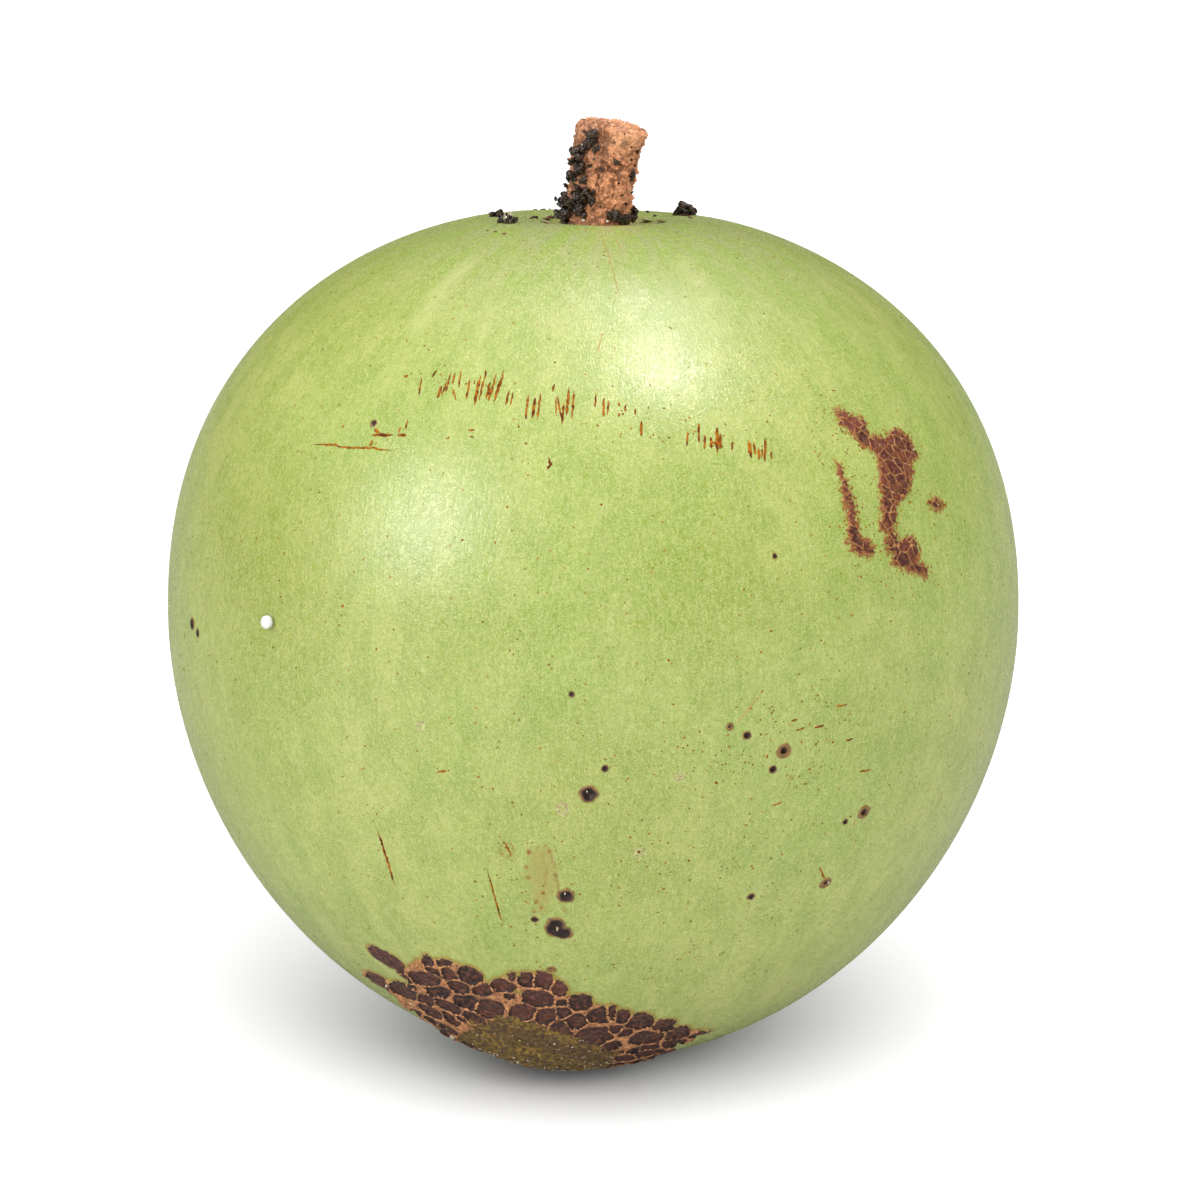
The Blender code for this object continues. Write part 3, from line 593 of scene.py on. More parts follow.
def scarFields(directions, spots):
    points = onPlane(scar["plane"], directions)
    border, plate = plateFields(scar, points, spots)
    edge = insideDistance(points, scar["outline"])
    edge = edge + noiseSum(spots, scar["ragged"])
    edge = np.where(edge > scar["pulledFrom"], np.maximum(edge, border - scar["pulledTo"]), edge)
    x, y, radius = scar["island"]
    island = np.linalg.norm(points - onPlane(scar["plane"], castToSkin([(x, y)])), axis=1)
    edge = np.minimum(edge, island - radius / pixelsPerMm * (1 + noiseSum(spots, scar["islandNoise"])))
    turns, reaches = zip(*scar["olive"])
    angle = np.degrees(np.arctan2(points[:, 0], points[:, 1]))
    olive = np.interp(angle, turns, reaches) - np.linalg.norm(points, axis=1)
    return edge, olive + noiseSum(spots, scar["oliveNoise"]), border, plate


def scabFields(directions, spots):
    points = onPlane(scab["plane"], directions)
    edge = np.max([insideDistance(points, outline) for outline in scab["outline"]], axis=0)
    return (edge + noiseSum(spots, scab["ragged"]), *plateFields(scab, points, spots))


# Round marks: pixel, radius in pixels, how raised the rim is, and the dark middle's share

warts = {
    "places": [(588.6, 794, 8.8, 1.0, 0.74), (555.5, 929, 10.6, 0.9, 0.8), (563.5, 933, 8.4, 0.8, 0.78),
               (556, 924, 8.0, 0.8, 0.74), (566, 896, 8.2, 0.9, 0.72), (784, 751, 7.4, 1.0, 0.42),
               (747, 735.5, 4.3, 0.6, 0.7), (773, 769.5, 4.3, 0.7, 0.72), (864, 812, 7.2, 1.0, 0.45),
               (845.5, 822, 3.4, 0.5, 0.7),
               (826, 883, 6.4, 0.8, 0.35), (751, 897, 4.2, 0.5, 0.62), (534.4, 920, 3.9, 0.5, 0.7),
               (775, 556, 2.8, 0.4, 0.65), (571.5, 694.5, 3.1, 0.4, 0.7), (605, 769, 3.6, 0.5, 0.8),
               (730, 727, 3.8, 0.5, 0.3), (191.5, 624, 5.8, 0.5, 0.8), (197, 633, 4.4, 0.5, 0.8),
               (373.5, 423, 3.8, 0.5, 0.6), (551.5, 970, 4.6, 0.7, 0.1)],
    "height": 0.17, "rimAt": 0.74, "rimWidth": 0.3, "rimEdge": (1.16, 0.94), "darkEdge": (0.14, 0.1),
    "pit": 0.14, "pitWidth": 0.7, "wobble": 0.2, "reach": 2.6,
}
skin = {
    # the grid's cuts, how often faces are split at the crusts and marks, and at the scab and warts alone
    "cuts": 51, "coarseLevels": 3, "levels": 4, "sink": 0.065,
    "swell": ((0.045, 0.05), (0.18, 0.018)),      # height and scale of the skin's slow undulation
    "folds": {"count": 34, "height": 0.09, "from": 5.5, "to": 19.0, "fade": 3.0, "twist": 0.02},
    # how far outside a mark faces are split: a crust's edge and the step to the next level, a wart's radii
    # and the rest, and pixels round a patch and a ring
    "finer": {"scar": (1.2, 0.4), "scab": (1.2, 0.25), "wart": (1.5, 0.7), "patch": 14, "ring": 8},
    "tanPatch": [(527, 850), (538, 846), (550, 846), (555, 858), (557, 870), (559, 893), (553, 903),
                 (535, 914), (532, 896), (527, 880)],
    "tanLines": [([(549.6, 850), (556.6, 875), (558.5, 893), (565.5, 912)], 0.5),
                 ([(541, 853), (546, 868), (545, 885)], 0.3)],
    "tanDots": [(529, 852, 2.4), (549.6, 851.5, 2), (526.5, 867, 1.8), (528.4, 877.5, 1.6), (555, 875, 1.8),
                (543, 893, 2), (536.5, 901.5, 1.8), (541.3, 907.5, 1.8), (534, 911.6, 1.6)],
    "loops": [(507, 850, 6.5, 1.4)],
    "paleRings": [(562.5, 809, 5.0, 2.0), (679, 777, 3.2, 1.4), (420.6, 726, 3.2, 1.5), (639, 853, 4.2, 1.3)],
    # painted shade, as deeper green patches: middle, half width, half height and strength
    "paintedShade": [(262, 590, 70, 130, 0.8), (700, 590, 90, 120, 0.5), (600, 800, 110, 110, 0.5),
             (330, 300, 90, 60, 0.35), (230, 760, 50, 90, 0.35), (480, 640, 60, 50, 0.3),
             (860, 720, 50, 70, 0.25)],
    "filmAndShade": (7.0, 4.0),                           # how far from the axis the brown film, partly painted shade in the hollow, fades, and is full
    "filmEdge": [(1.6, 0.5, 57.0)], "filmClouds": [(1.0, 0.9, 59.0)], "filmShare": 0.55, "filmMost": 0.75,
    "markNoise": [(3.0, 1.1, 51.0), (1.5, 3.3, 53.0)],
    "strengths": {"tanLines": 0.6, "loops": 0.5, "paleRings": 0.95, "paleStreaks": 0.45},
    "paleStreaks": [([(677, 256), (697, 280), (707, 300), (713, 322)], 5.0),
                    ([(470, 262), (440, 290), (415, 330)], 5.0)],
}


def wartFields(directions, spots):
    height, dark, rim = (np.zeros(len(directions)) for _ in range(3))
    middles = castToSkin([place[:2] for place in warts["places"]])
    for (x, _, radius, raised, middle), direction in zip(warts["places"], middles):
        size = radius / pixelsPerMm
        near = nearTo(directions, direction, warts["reach"] * size, body["halfWidth"])
        if len(near) == 0:
            continue
        away = np.arccos(np.clip(directions[near] @ direction, -1, 1)) * body["halfWidth"] / size
        away = away * (1 + warts["wobble"] * noiseAt(spots[near], 1.5 / size, x))
        bulge = warts["height"] * raised * np.exp(-((away - warts["rimAt"]) / warts["rimWidth"]) ** 2)
        pit = warts["pit"] * raised * np.exp(-(away / (middle * warts["pitWidth"])) ** 2)
        height[near] += bulge - pit
        out, inwards = warts["darkEdge"]
        dark[near] = np.maximum(dark[near], smoothStep(middle + out, middle - inwards, away))
        rim[near] = np.maximum(rim[near], smoothStep(*warts["rimEdge"], away))
    return height, dark, rim


def skinRelief(directions):
    spots = directions * body["halfWidth"]
    height = np.full(len(directions), -skin["sink"])
    for amount, scale in skin["swell"]:
        height += amount * noiseAt(spots, scale, 40.0)
    fromAxis = np.arccos(np.clip(directions @ stalkAxis, -1, 1)) * body["topHeight"]
    turn = np.arctan2(directions @ stalkSide, directions @ stalkFront)
    folds = skin["folds"]
    shown = smoothStep(folds["from"] - folds["fade"], folds["from"], fromAxis)
    shown = shown * smoothStep(folds["to"], folds["from"], fromAxis)
    across = np.stack([np.cos(turn), np.sin(turn), fromAxis * folds["twist"]], 1)
    height += folds["height"] * shown * noiseAt(across, folds["count"] / 6, 9.0)
    return height


crustFields = {"crust": -3.0, "border": 2.0, "tone": 0.5, "olive": -3.0, "scabby": 0.0}
markFields = ("dark", "rim", "tan", "stainAndShade", "pale", "paintedShade", "fringe", "belt", "ring")


def fringeAt(edge, crust):                      # the brown line where a crust ends
    middle, width = crust["fringe"]
    return np.exp(-((edge - middle) / width) ** 2)


def layScar(directions, spots, fields, height):
    near = nearTo(directions, tipAxis, scar["reach"], body["bottomHeight"])
    directions, spots = directions[near], spots[near]
    edge, olive, border, plate = scarFields(directions, spots)
    tones = np.random.RandomState(3).uniform(0, 1, len(scar["middles"]))
    fields["crust"][near], fields["olive"][near] = edge, olive
    fields["border"][near], fields["tone"][near] = border, tones[plate]
    narrow, wide = scar["netWidth"]
    width = narrow + (wide - narrow) * (0.5 + noiseAt(spots, 0.5, 11.0))
    ridge = scar["netHeight"] * smoothStep(width * 1.5, width * 0.5, border)
    ridge *= 1 + noiseSum(spots, scar["netNoise"])
    fibres = scar["fibreHeight"] * np.cos(border * 2 * math.pi / scar["fibreStep"])
    fibres = fibres * smoothStep(*scar["fibreFade"], border)
    plates = scar["plateHeight"] * (1 + noiseSum(spots, scar["plateNoise"]))
    grains = scar["oliveHeight"] * (0.4 + noiseAt(spots, 1.4, 19.0) + 0.7 * grainsAt(spots, 1.5, 23.0))
    places = skinPoints(directions)
    pixels = toPixels(places)
    grains -= scar["slitDepth"] * np.exp(-(pathDistance(pixels, scar["slit"]) / scar["slitWidth"]) ** 2)
    fromBelt = pathDistance(pixels, scar["belt"]) + noiseSum(spots, scar["beltNoise"])
    fields["belt"][near] = smoothStep(*scar["beltFade"], fromBelt)
    inOlive = smoothStep(*scar["oliveFade"], olive)
    relief = (ridge + fibres + plates) * (1 - inOlive) + grains * inOlive
    relief = relief * smoothStep(*scar["edgeFade"], edge)
    height[near] += relief * smoothStep(*scar["flatFade"], np.linalg.norm(places, axis=1))
    fields["fringe"][near] = fringeAt(edge, scar)


def layScab(directions, spots, fields, height):
    near = nearTo(directions, scab["plane"]["middle"], scab["reach"], body["halfWidth"])
    spots = spots[near]
    edge, border, plate = scabFields(directions[near], spots)
    tones = np.random.RandomState(5).uniform(0, 1, len(scab["middles"]))
    fields["crust"][near] = np.maximum(fields["crust"][near], edge)
    fields["border"][near], fields["tone"][near], fields["scabby"][near] = border, tones[plate], 1.0
    plates = scab["plateHeight"] * (1 + noiseSum(spots, scab["plateNoise"]))
    cracks = scab["crackHeight"] * np.exp(-(border / scab["crackWidth"]) ** 2)
    height[near] += smoothStep(*scab["edgeFade"], edge) * (plates + cracks)
    fields["fringe"][near] = np.maximum(fields["fringe"][near], fringeAt(edge, scab))


def layMarks(directions, spots, points, fields):    # what the photo shows, on the side that faces it
    pixels = toPixels(points)
    facing = smoothStep(0.0, 0.15, directions @ -sightAhead)
    wobble = noiseSum(spots, skin["markNoise"])
    strengths = skin["strengths"]

    def lay(name, mask, strength=1.0):
        fields[name] = np.maximum(fields[name], facing * mask * strength)

    def away(x, y):
        return np.hypot(pixels[:, 0] - x, pixels[:, 1] - y)

    lay("tan", smoothStep(-4.0, 7.0, insideDistance(pixels, skin["tanPatch"]) + wobble * 1.5))
    for path, halfWidth in skin["tanLines"]:
        fromLine = pathDistance(pixels, path) + wobble * 0.5
        lay("stainAndShade", smoothStep(halfWidth + 1.2, halfWidth - 0.6, fromLine), strengths["tanLines"])
    for x, y, radius in skin["tanDots"]:
        lay("stainAndShade", smoothStep(radius + 0.7, radius - 0.7, away(x, y)))
    for x, y, radius, width in skin["loops"]:
        lay("stainAndShade", np.exp(-((away(x, y) - radius + wobble * 0.5) / width) ** 2), strengths["loops"])
    for x, y, radius, width in skin["paleRings"]:
        lay("ring", np.exp(-((away(x, y) - radius) / width) ** 2), strengths["paleRings"])
    # brown film in the hollow round the stalk: partly the skin's brown, partly painted shade of the hollow
    fromAxis = np.arccos(np.clip(directions @ stalkAxis, -1, 1)) * body["topHeight"]
    filmAndShade = smoothStep(*skin["filmAndShade"], fromAxis + noiseSum(spots, skin["filmEdge"]))
    filmAndShade = filmAndShade * (skin["filmShare"] + noiseSum(spots, skin["filmClouds"]))
    fields["stainAndShade"] = np.maximum(fields["stainAndShade"], np.clip(filmAndShade, 0, skin["filmMost"]))
    # deeper green patches of painted shade
    for x, y, halfWidth, halfHeight, strength in skin["paintedShade"]:
        oval = ((pixels[:, 0] - x) / halfWidth) ** 2 + ((pixels[:, 1] - y) / halfHeight) ** 2
        lay("paintedShade", np.exp(-oval * (1 + 0.8 * noiseAt(spots, 0.16, x))), strength)
    for path, halfWidth in skin["paleStreaks"]:
        lay("pale", np.exp(-(pathDistance(pixels, path) / halfWidth) ** 2), strengths["paleStreaks"])


def skinFields(directions):
    spots = directions * body["halfWidth"]
    fields = {name: np.zeros(len(directions)) for name in markFields}
    fields.update({name: np.full(len(directions), away) for name, away in crustFields.items()})
    height = skinRelief(directions)
    layScar(directions, spots, fields, height)
    layScab(directions, spots, fields, height)
    wartHeight, fields["dark"], fields["rim"] = wartFields(directions, spots)
    height += wartHeight
    points = centre + directions * (bodyRadius(directions) + height)[:, None]
    points[:, 2] = np.maximum(points[:, 2], 0)
    layMarks(directions, spots, points, fields)
    return points, fields


def needsFiner(directions, level):              # which faces of the skin are split once more
    finer = np.zeros(len(directions), bool)
    reachOut = skin["finer"]
    if level < skin["coarseLevels"]:
        near = nearTo(directions, tipAxis, scar["reach"], body["bottomHeight"])
        edge = insideDistance(onPlane(scar["plane"], directions[near]), scar["outline"])
        finer[near] |= edge > level * reachOut["scar"][1] - reachOut["scar"][0]
    near = nearTo(directions, scab["plane"]["middle"], scab["reach"], body["halfWidth"])
    points = onPlane(scab["plane"], directions[near])
    edge = np.max([insideDistance(points, outline) for outline in scab["outline"]], axis=0)
    finer[near] |= edge > level * reachOut["scab"][1] - reachOut["scab"][0]
    for place in warts["places"]:
        reach = place[2] / pixelsPerMm * reachOut["wart"][0] + reachOut["wart"][1] / (level + 1)
        finer[nearTo(directions, castToSkin([place[:2]])[0], reach, body["halfWidth"])] = True
    if level < skin["coarseLevels"]:
        pixels = toPixels(skinPoints(directions))
        facing = directions @ -sightAhead > 0
        finer |= facing & (insideDistance(pixels, skin["tanPatch"]) > -reachOut["patch"])
        for x, y, radius, width in skin["paleRings"] + skin["loops"]:
            away = np.hypot(pixels[:, 0] - x, pixels[:, 1] - y)
            finer |= facing & (away < radius + width + reachOut["ring"])
    return finer


def addSkin(material):
    deselectAll()
    bpy.ops.mesh.primitive_cube_add(size=2)
    piece = bpy.context.object
    bpy.ops.object.mode_set(mode="EDIT")
    bpy.ops.mesh.select_all(action="SELECT")
    bpy.ops.mesh.subdivide(number_cuts=skin["cuts"])
    bpy.ops.transform.tosphere(value=1.0)
    bpy.ops.object.mode_set(mode="OBJECT")
    for level in range(skin["levels"]):
        middles = np.empty(len(piece.data.polygons) * 3)
        piece.data.polygons.foreach_get("center", middles)
        selectFaces(piece, needsFiner(unit(middles.reshape(-1, 3)), level))
        bpy.ops.object.mode_set(mode="EDIT")
        bpy.ops.mesh.subdivide(number_cuts=1)
        bpy.ops.object.mode_set(mode="OBJECT")
    directions = unit(coordinatesOf(piece))
    points, fields = skinFields(directions)
    placeVertices(piece, points)
    setAttributes(piece, fields)
    along = np.clip(directions @ stalkAxis, -1, 1)
    across = np.stack([directions @ stalkSide, directions @ stalkFront], 1)
    across = across / np.maximum(np.linalg.norm(across, axis=1), 1e-6)[:, None]
    meridian = np.column_stack([across, np.arcsin(along)]) * body["halfWidth"]
    setAttribute(piece, "meridian", meridian)
    return finishPiece(piece, "skin", "skin", material, "fruit")


# The stalk: bark round a slanted cut

stalk = {
    "height": 11.82, "footRadius": 2.88, "topRadius": 3.25,
    "lean": -0.04, "bend": 0.0117,
    "root": -0.9, "sides": 210, "levels": 150, "capRings": 16,
    "lumps": ((0.55, 0.2), (1.3, 0.17)), "barkStart": (-0.5, 2.0),
    "grains": ((1.25, 0.32), (2.4, 0.32), (4.6, 0.24)),
    "dome": 0.25, "roundOff": 0.6, "roundFrom": 0.75, "capFrom": 0.9,
    "slope": 0.45, "slopeFrom": 8.0, "flare": 0.28, "flareFrom": (9.0, 10.8), "flareTo": (12.6, 11.0),
    "turnIn": 0.35, "turnOver": 0.9, "turnFrom": 0.6,    # the bark's last stretch turns in towards the cut
    "furrows": (0.1, 3.0, 0.22, 1.6),             # depth, how close round the stalk and along it, and scale
    "lumpShare": 0.8, "cutFade": (-0.3, 1.4), "cutSmooth": 0.5, "capRelief": (-0.175, 0.154),
    # wrinkles as angle round the stalk and height, with half width and depth
    "wrinkles": [([(-9, 12.2), (-10, 10.8), (-5, 9.3)], 0.12, 0.05),
                 ([(-5, 9.3), (10, 8.75), (32, 8.6), (58, 9.3)], 0.2, 0.08),
                 ([(-4, 8.3), (5, 8.1), (13, 7.6), (26, 7.4), (38, 7.9)], 0.17, 0.34),
                 ([(-12, 7.6), (-6, 6.9), (6, 6.3)], 0.14, 0.25),
                 ([(20, 6.6), (26, 5.9), (24, 5.2)], 0.13, 0.22)],
    # the pale slanted cut's outline, in the same measures
    "cut": [(-12, 12.4), (-6, 9.2), (10, 8.6), (40, 8.9), (72, 10.2), (80, 12.4)],
}


def stalkMiddle(height):
    above = np.maximum(height, 0)[:, None]
    return (stalkFoot + stalkAxis * height[:, None]
            + stalkSide * (stalk["lean"] * above + stalk["bend"] * above ** 2))


def stalkRadius(height):
    share = np.clip(height / stalk["height"], 0, 1)
    return stalk["footRadius"] + (stalk["topRadius"] - stalk["footRadius"]) * share


def stalkPlace(height, turn, out=0.0):          # turn from -Y towards +X, in radians
    height, turn = np.atleast_1d(height).astype(float), np.atleast_1d(turn).astype(float)
    outwards = np.sin(turn)[:, None] * stalkSide + np.cos(turn)[:, None] * stalkFront
    return stalkMiddle(height) + outwards * (stalkRadius(height) + out)[:, None], outwards


def addStalk(material):
    deselectAll()
    length = stalk["height"] - stalk["root"]
    bpy.ops.mesh.primitive_cylinder_add(vertices=stalk["sides"], radius=1, depth=length, end_fill_type="NGON",
                                        location=(0, 0, stalk["root"] + length / 2))
    piece = bpy.context.object
    bpy.ops.object.transform_apply(location=True)
    mesh = piece.data
    heights = coordinatesOf(piece)[:, 2]
    upright = [abs(heights[edge.vertices[0]] - heights[edge.vertices[1]]) > length / 2 for edge in mesh.edges]
    selectFaces(piece, np.zeros(len(mesh.polygons), bool))
    mesh.edges.foreach_set("select", upright)
    bpy.context.tool_settings.mesh_select_mode = (False, True, False)
    bpy.ops.object.mode_set(mode="EDIT")
    bpy.ops.mesh.subdivide(number_cuts=stalk["levels"])
    bpy.ops.object.mode_set(mode="OBJECT")
    selectFaces(piece, [face.normal.z > 0.5 for face in piece.data.polygons])
    bpy.ops.object.mode_set(mode="EDIT")
    for _ in range(stalk["capRings"]):
        bpy.ops.mesh.inset(thickness=0.97 / stalk["capRings"])
    bpy.ops.mesh.poke()
    bpy.ops.object.mode_set(mode="OBJECT")
    place = coordinatesOf(piece)
    turn = np.arctan2(place[:, 0], -place[:, 1])
    share = np.minimum(np.hypot(place[:, 0], place[:, 1]), 1.0)
    points, fields = barkShape(place[:, 2], turn, share)
    placeVertices(piece, points)
    setAttributes(piece, fields)
    return finishPiece(piece, "stalk", "bark", material, "stem")


def barkShape(height, turn, share):
    outwards = np.sin(turn)[:, None] * stalkSide + np.cos(turn)[:, None] * stalkFront
    onCap = smoothStep(1.0, stalk["capFrom"], share)
    reach = stalkRadius(height) * share
    onEnd = height > stalk["height"] - 0.01
    rounding = stalk["roundOff"] * smoothStep(stalk["roundFrom"], 1.0, share) * onEnd
    level = height + stalk["dome"] * (1 - share ** 2) * onEnd - rounding
    nearTop = smoothStep(stalk["height"] - stalk["turnOver"], stalk["height"], height)
    reach = reach - stalk["turnIn"] * nearTop ** 2 * smoothStep(stalk["turnFrom"], 1.0, share)
    slanted = smoothStep(stalk["slopeFrom"], stalk["height"], height)
    level = level - stalk["slope"] * np.sin(turn) * share * slanted
    flared = smoothStep(*stalk["flareFrom"], height) * smoothStep(*stalk["flareTo"], height)
    reach = reach + stalk["flare"] * np.maximum(np.sin(turn), 0) * share * flared
    spots = stalkMiddle(height) + outwards * reach[:, None]
    spots = spots + stalkAxis * (level - height)[:, None]
    begin = smoothStep(*stalk["barkStart"], height)
    bumps = sum(amount * noiseAt(spots, scale) for scale, amount in stalk["lumps"])
    grain = sum(amount * (grainsAt(spots, scale, 60.0) - 0.3) for scale, amount in stalk["grains"])
    inCut = smoothStep(*stalk["cutFade"], cutShare(height, turn))
    grain = grain * (1 - inCut * stalk["cutSmooth"])
    depth, around, along, scale = stalk["furrows"]
    rounds = np.column_stack([np.sin(turn) * around, np.cos(turn) * around, height * along])
    relief = bumps * stalk["lumpShare"] + grain + depth * noiseAt(rounds, scale, 70.0)
    unrolled = np.stack([turn * stalk["topRadius"], height], 1)
    for path, halfWidth, depth in stalk["wrinkles"]:
        path = np.array(path) * [math.pi / 180 * stalk["topRadius"], 1.0]
        relief -= depth * np.exp(-(pathDistance(unrolled, path) / halfWidth) ** 2)
    sideways = relief * begin * (1 - onCap)
    points = spots + outwards * sideways[:, None]
    points += stalkAxis * (np.clip(relief * 0.7, *stalk["capRelief"]) * onCap)[:, None]
    return points, {"relief": relief, "light": inCut, "turn": np.sin(turn)}


def cutShare(height, turn):                     # the pale, smoother slant at the upper front
    unroll = np.array([math.radians(stalk["topRadius"]), 1.0])
    return insideDistance(np.stack([np.degrees(turn), height], 1) * unroll, np.array(stalk["cut"]) * unroll)


# Crumbs: black grains stuck to the stalk and lying on the shoulder

crumbs = {
    "lift": 0.1, "faces": 9, "depth": (0.45, 1.0), "grain": ((1.6, 0.14), (3.4, 0.1)), "grow": 1.16,
    "thin": (-0.5, 0.0), "bits": 3, "bitSize": (0.55, 0.85), "spread": 0.55,
    # angle round the stalk from -Y towards +X, height, radius
    "grit_stem_left": [(-30, 10.6, 0.55), (-36, 10.4, 0.4), (-33, 9.9, 0.42), (-14, 9.5, 0.32),
                       (-48, 9.3, 0.6), (-40, 8.8, 0.55), (-60, 8.4, 0.46), (-91, 8.3, 0.17),
                       (-43, 7.5, 0.6), (-52, 7.1, 0.42), (-59, 6.7, 0.52), (-34, 6.6, 0.42),
                       (-90, 5.9, 0.22), (-28, 5.6, 0.6), (-38, 5.9, 0.45), (-18, 5.4, 0.44),
                       (-46, 4.8, 0.6), (-31, 4.9, 0.55), (-14, 4.7, 0.42), (-90, 4.8, 0.5),
                       (-90, 4.0, 0.62), (-90, 3.0, 0.66), (-74, 3.1, 0.5), (-51, 4.0, 0.52),
                       (-31, 4.1, 0.5), (-32, 3.5, 0.5), (-62, 3.4, 0.55), (-66, 4.5, 0.4),
                       (-24, 7.9, 0.2), (-4, 7.7, 0.24)],
    "grit_stem_right": [(23, 3.6, 0.55), (31, 3.3, 0.46), (40, 3.0, 0.48), (51, 2.9, 0.5), (61, 3.0, 0.54),
                        (75, 3.0, 0.46), (89, 3.1, 0.5), (82, 3.8, 0.4)],
    # angle round the stalk's axis, distance from it, radius
    "grit_rim_right": [(124, 9.4, 0.5), (119, 9.0, 0.42), (116, 9.7, 0.4), (126, 9.8, 0.36), (121, 9.2, 0.6),
                       (118, 9.5, 0.46), (128, 9.3, 0.28), (121, 9.3, 0.72), (120, 9.1, 0.66)],
    "grit_rim_left": [(-56, 11.0, 0.3), (-53, 10.8, 0.36), (-50, 10.7, 0.36), (-47, 10.5, 0.3),
                      (-52, 10.3, 0.24)],
    "grit_rim_left_far": [(-85, 10.1, 0.26), (-86, 9.6, 0.32), (-82, 9.3, 0.36), (-84, 8.8, 0.26)],
}
looseCrumbs = {
    "stalk": [(-90, 4.7, 1.0, 0.2), (-90, 3.4, 0.98, 0.26), (62, 7.2, 0.0, 0.33), (62, 6.7, 0.0, 0.3),
              (18, 8.4, 0.0, 0.34), (62, 9.2, 0.0, 0.2), (28, 8.1, 0.0, 0.16), (72, 5.4, 0.0, 0.14),
              (50, 8.6, 0.0, 0.12), (40, 5.2, 0.0, 0.12), (10, 10.2, 0.0, 0.12), (24, 11.0, 0.0, 0.12),
              (56, 4.4, 0.0, 0.14), (30, 6.4, 0.0, 0.12), (-8, 6.2, 0.0, 0.13), (-20, 8.6, 0.0, 0.16),
              (66, 8.0, 0.0, 0.13), (2, 4.2, 0.0, 0.13), (44, 9.7, 0.0, 0.11), (-50, 11.1, 0.0, 0.14)],
    "skin": [(647.4, 212.2, 0.14), (654, 216, 0.09), (550, 209, 0.08)],
}


def crumbShape(source, place, radius, seed):
    draw = np.random.RandomState(seed)
    squeeze = unit(draw.normal(size=3))
    turned = source + squeeze * (source @ squeeze)[:, None] * draw.uniform(*crumbs["thin"])
    faces = unit(draw.normal(size=(crumbs["faces"], 3)))
    depths = draw.uniform(*crumbs["depth"], crumbs["faces"])
    bump = np.minimum((depths / np.maximum(source @ faces.T, 0.05)).min(axis=1), 1.5)
    for scale, amount in crumbs["grain"]:
        bump += amount * noiseAt(source, scale, seed * 3.7)
    return place + turned * (radius * bump * crumbs["grow"])[:, None]


def icoSource(level):
    deselectAll()
    bpy.ops.mesh.primitive_ico_sphere_add(subdivisions=level, radius=1)
    source = bpy.context.object
    return source, coordinatesOf(source)


def onShoulder(angle, distance, lift):
    turn = math.radians(angle)
    across = math.sin(turn) * stalkSide + math.cos(turn) * stalkFront
    along = distance / body["topHeight"]
    return skinPoint(unit(stalkAxis * math.cos(along) + across * math.sin(along)), lift)


def addCrumbs(material):
    for name in [key for key in crumbs if key.startswith("grit")]:
        source, shape = icoSource(3)
        draw = np.random.RandomState(len(crumbs[name]))
        copies = []
        for number, (angle, across, radius) in enumerate(crumbs[name]):
            lift = crumbs["lift"] + radius * 0.35
            if "stem" in name:
                place = stalkPlace(across, math.radians(angle), lift)[0][0]
            else:
                place = onShoulder(angle, across, lift)
            for bit in range(crumbs["bits"]):
                shift = unit(draw.normal(size=3)) * radius * crumbs["spread"]
                size = radius * draw.uniform(*crumbs["bitSize"])
                copies.append(crumbShape(shape, place + shift, size, number * 7 + bit + 31))
        finishPiece(tileCopies(source, copies), name.replace("grit", "crumbs"), "grit", material, name)
    source, shape = icoSource(2)
    copies = []
    for number, (angle, height, out, radius) in enumerate(looseCrumbs["stalk"]):
        place = stalkPlace(height, math.radians(angle), out + radius * 0.3)[0][0]
        copies.append(crumbShape(shape, place, radius, number + 101))
    directions = castToSkin([place[:2] for place in looseCrumbs["skin"]])
    for number, (direction, place) in enumerate(zip(directions, looseCrumbs["skin"])):
        copies.append(crumbShape(shape, skinPoint(direction, place[2] * 0.2), place[2], number + 201))
    finishPiece(tileCopies(source, copies), "crumbs_loose", "grit", material)


# Flat flakes and pale bits, some of them painted glints on the warts: pixel, half sizes across, along the
# skin and upwards in millimetres

flakes = {
    "brown": [(546.5, 219, 0.42, 0.3, 0.12), (551, 217.5, 0.3, 0.25, 0.14), (534.6, 218, 0.3, 0.3, 0.16),
              (531, 219, 0.2, 0.2, 0.1), (543, 207.8, 0.26, 0.2, 0.07), (535, 208.5, 0.2, 0.2, 0.06),
              (504.3, 233.7, 0.2, 0.14, 0.05), (495.5, 231.4, 0.12, 0.1, 0.04),
              (487.5, 230.4, 0.1, 0.08, 0.04), (686, 215.5, 0.95, 0.3, 0.07),
              (690, 217.5, 0.3, 0.15, 0.05), (655.5, 215.5, 0.13, 0.1, 0.05),
              (648, 221, 0.9, 0.3, 0.05), (663, 221.6, 0.8, 0.14, 0.05), (563, 222, 0.5, 0.2, 0.05),
              (545, 222.6, 0.9, 0.09, 0.04)],
    "pale": [(506, 216.5, 0.42, 0.25, 0.32), (511, 215.5, 0.2, 0.2, 0.3), (507, 219.5, 0.16, 0.2, 0.2),
             (454, 1034, 0.36, 0.36, 0.36), (554.4, 1043.8, 0.1, 0.1, 0.08), (638, 1049, 0.15, 0.15, 0.12),
             # the pale bits at (557.5, 928), (587, 791), (565, 893) and (828, 882) sit on warts as painted
             # glints
             (913, 450, 0.11, 0.13, 0.1), (937.5, 505, 0.1, 0.1, 0.08), (557.5, 928, 0.12, 0.1, 0.22),
             (587, 791, 0.07, 0.05, 0.2), (565, 893, 0.07, 0.05, 0.2), (828, 882, 0.08, 0.07, 0.16),
             (412, 1001.5, 0.2, 0.1, 0.2), (387, 985, 0.12, 0.08, 0.2)],
    "paleOnStalk": [(-27, 2.9, 0.2, 0.14), (16, 2.85, 0.16, 0.13), (-45, 9.9, 0.12, 0.1),
                    (88, 10.9, 0.08, 0.3)],
    "olive": {"count": 260, "size": (0.02, 0.065), "reach": 7.2, "rise": 0.13},
}


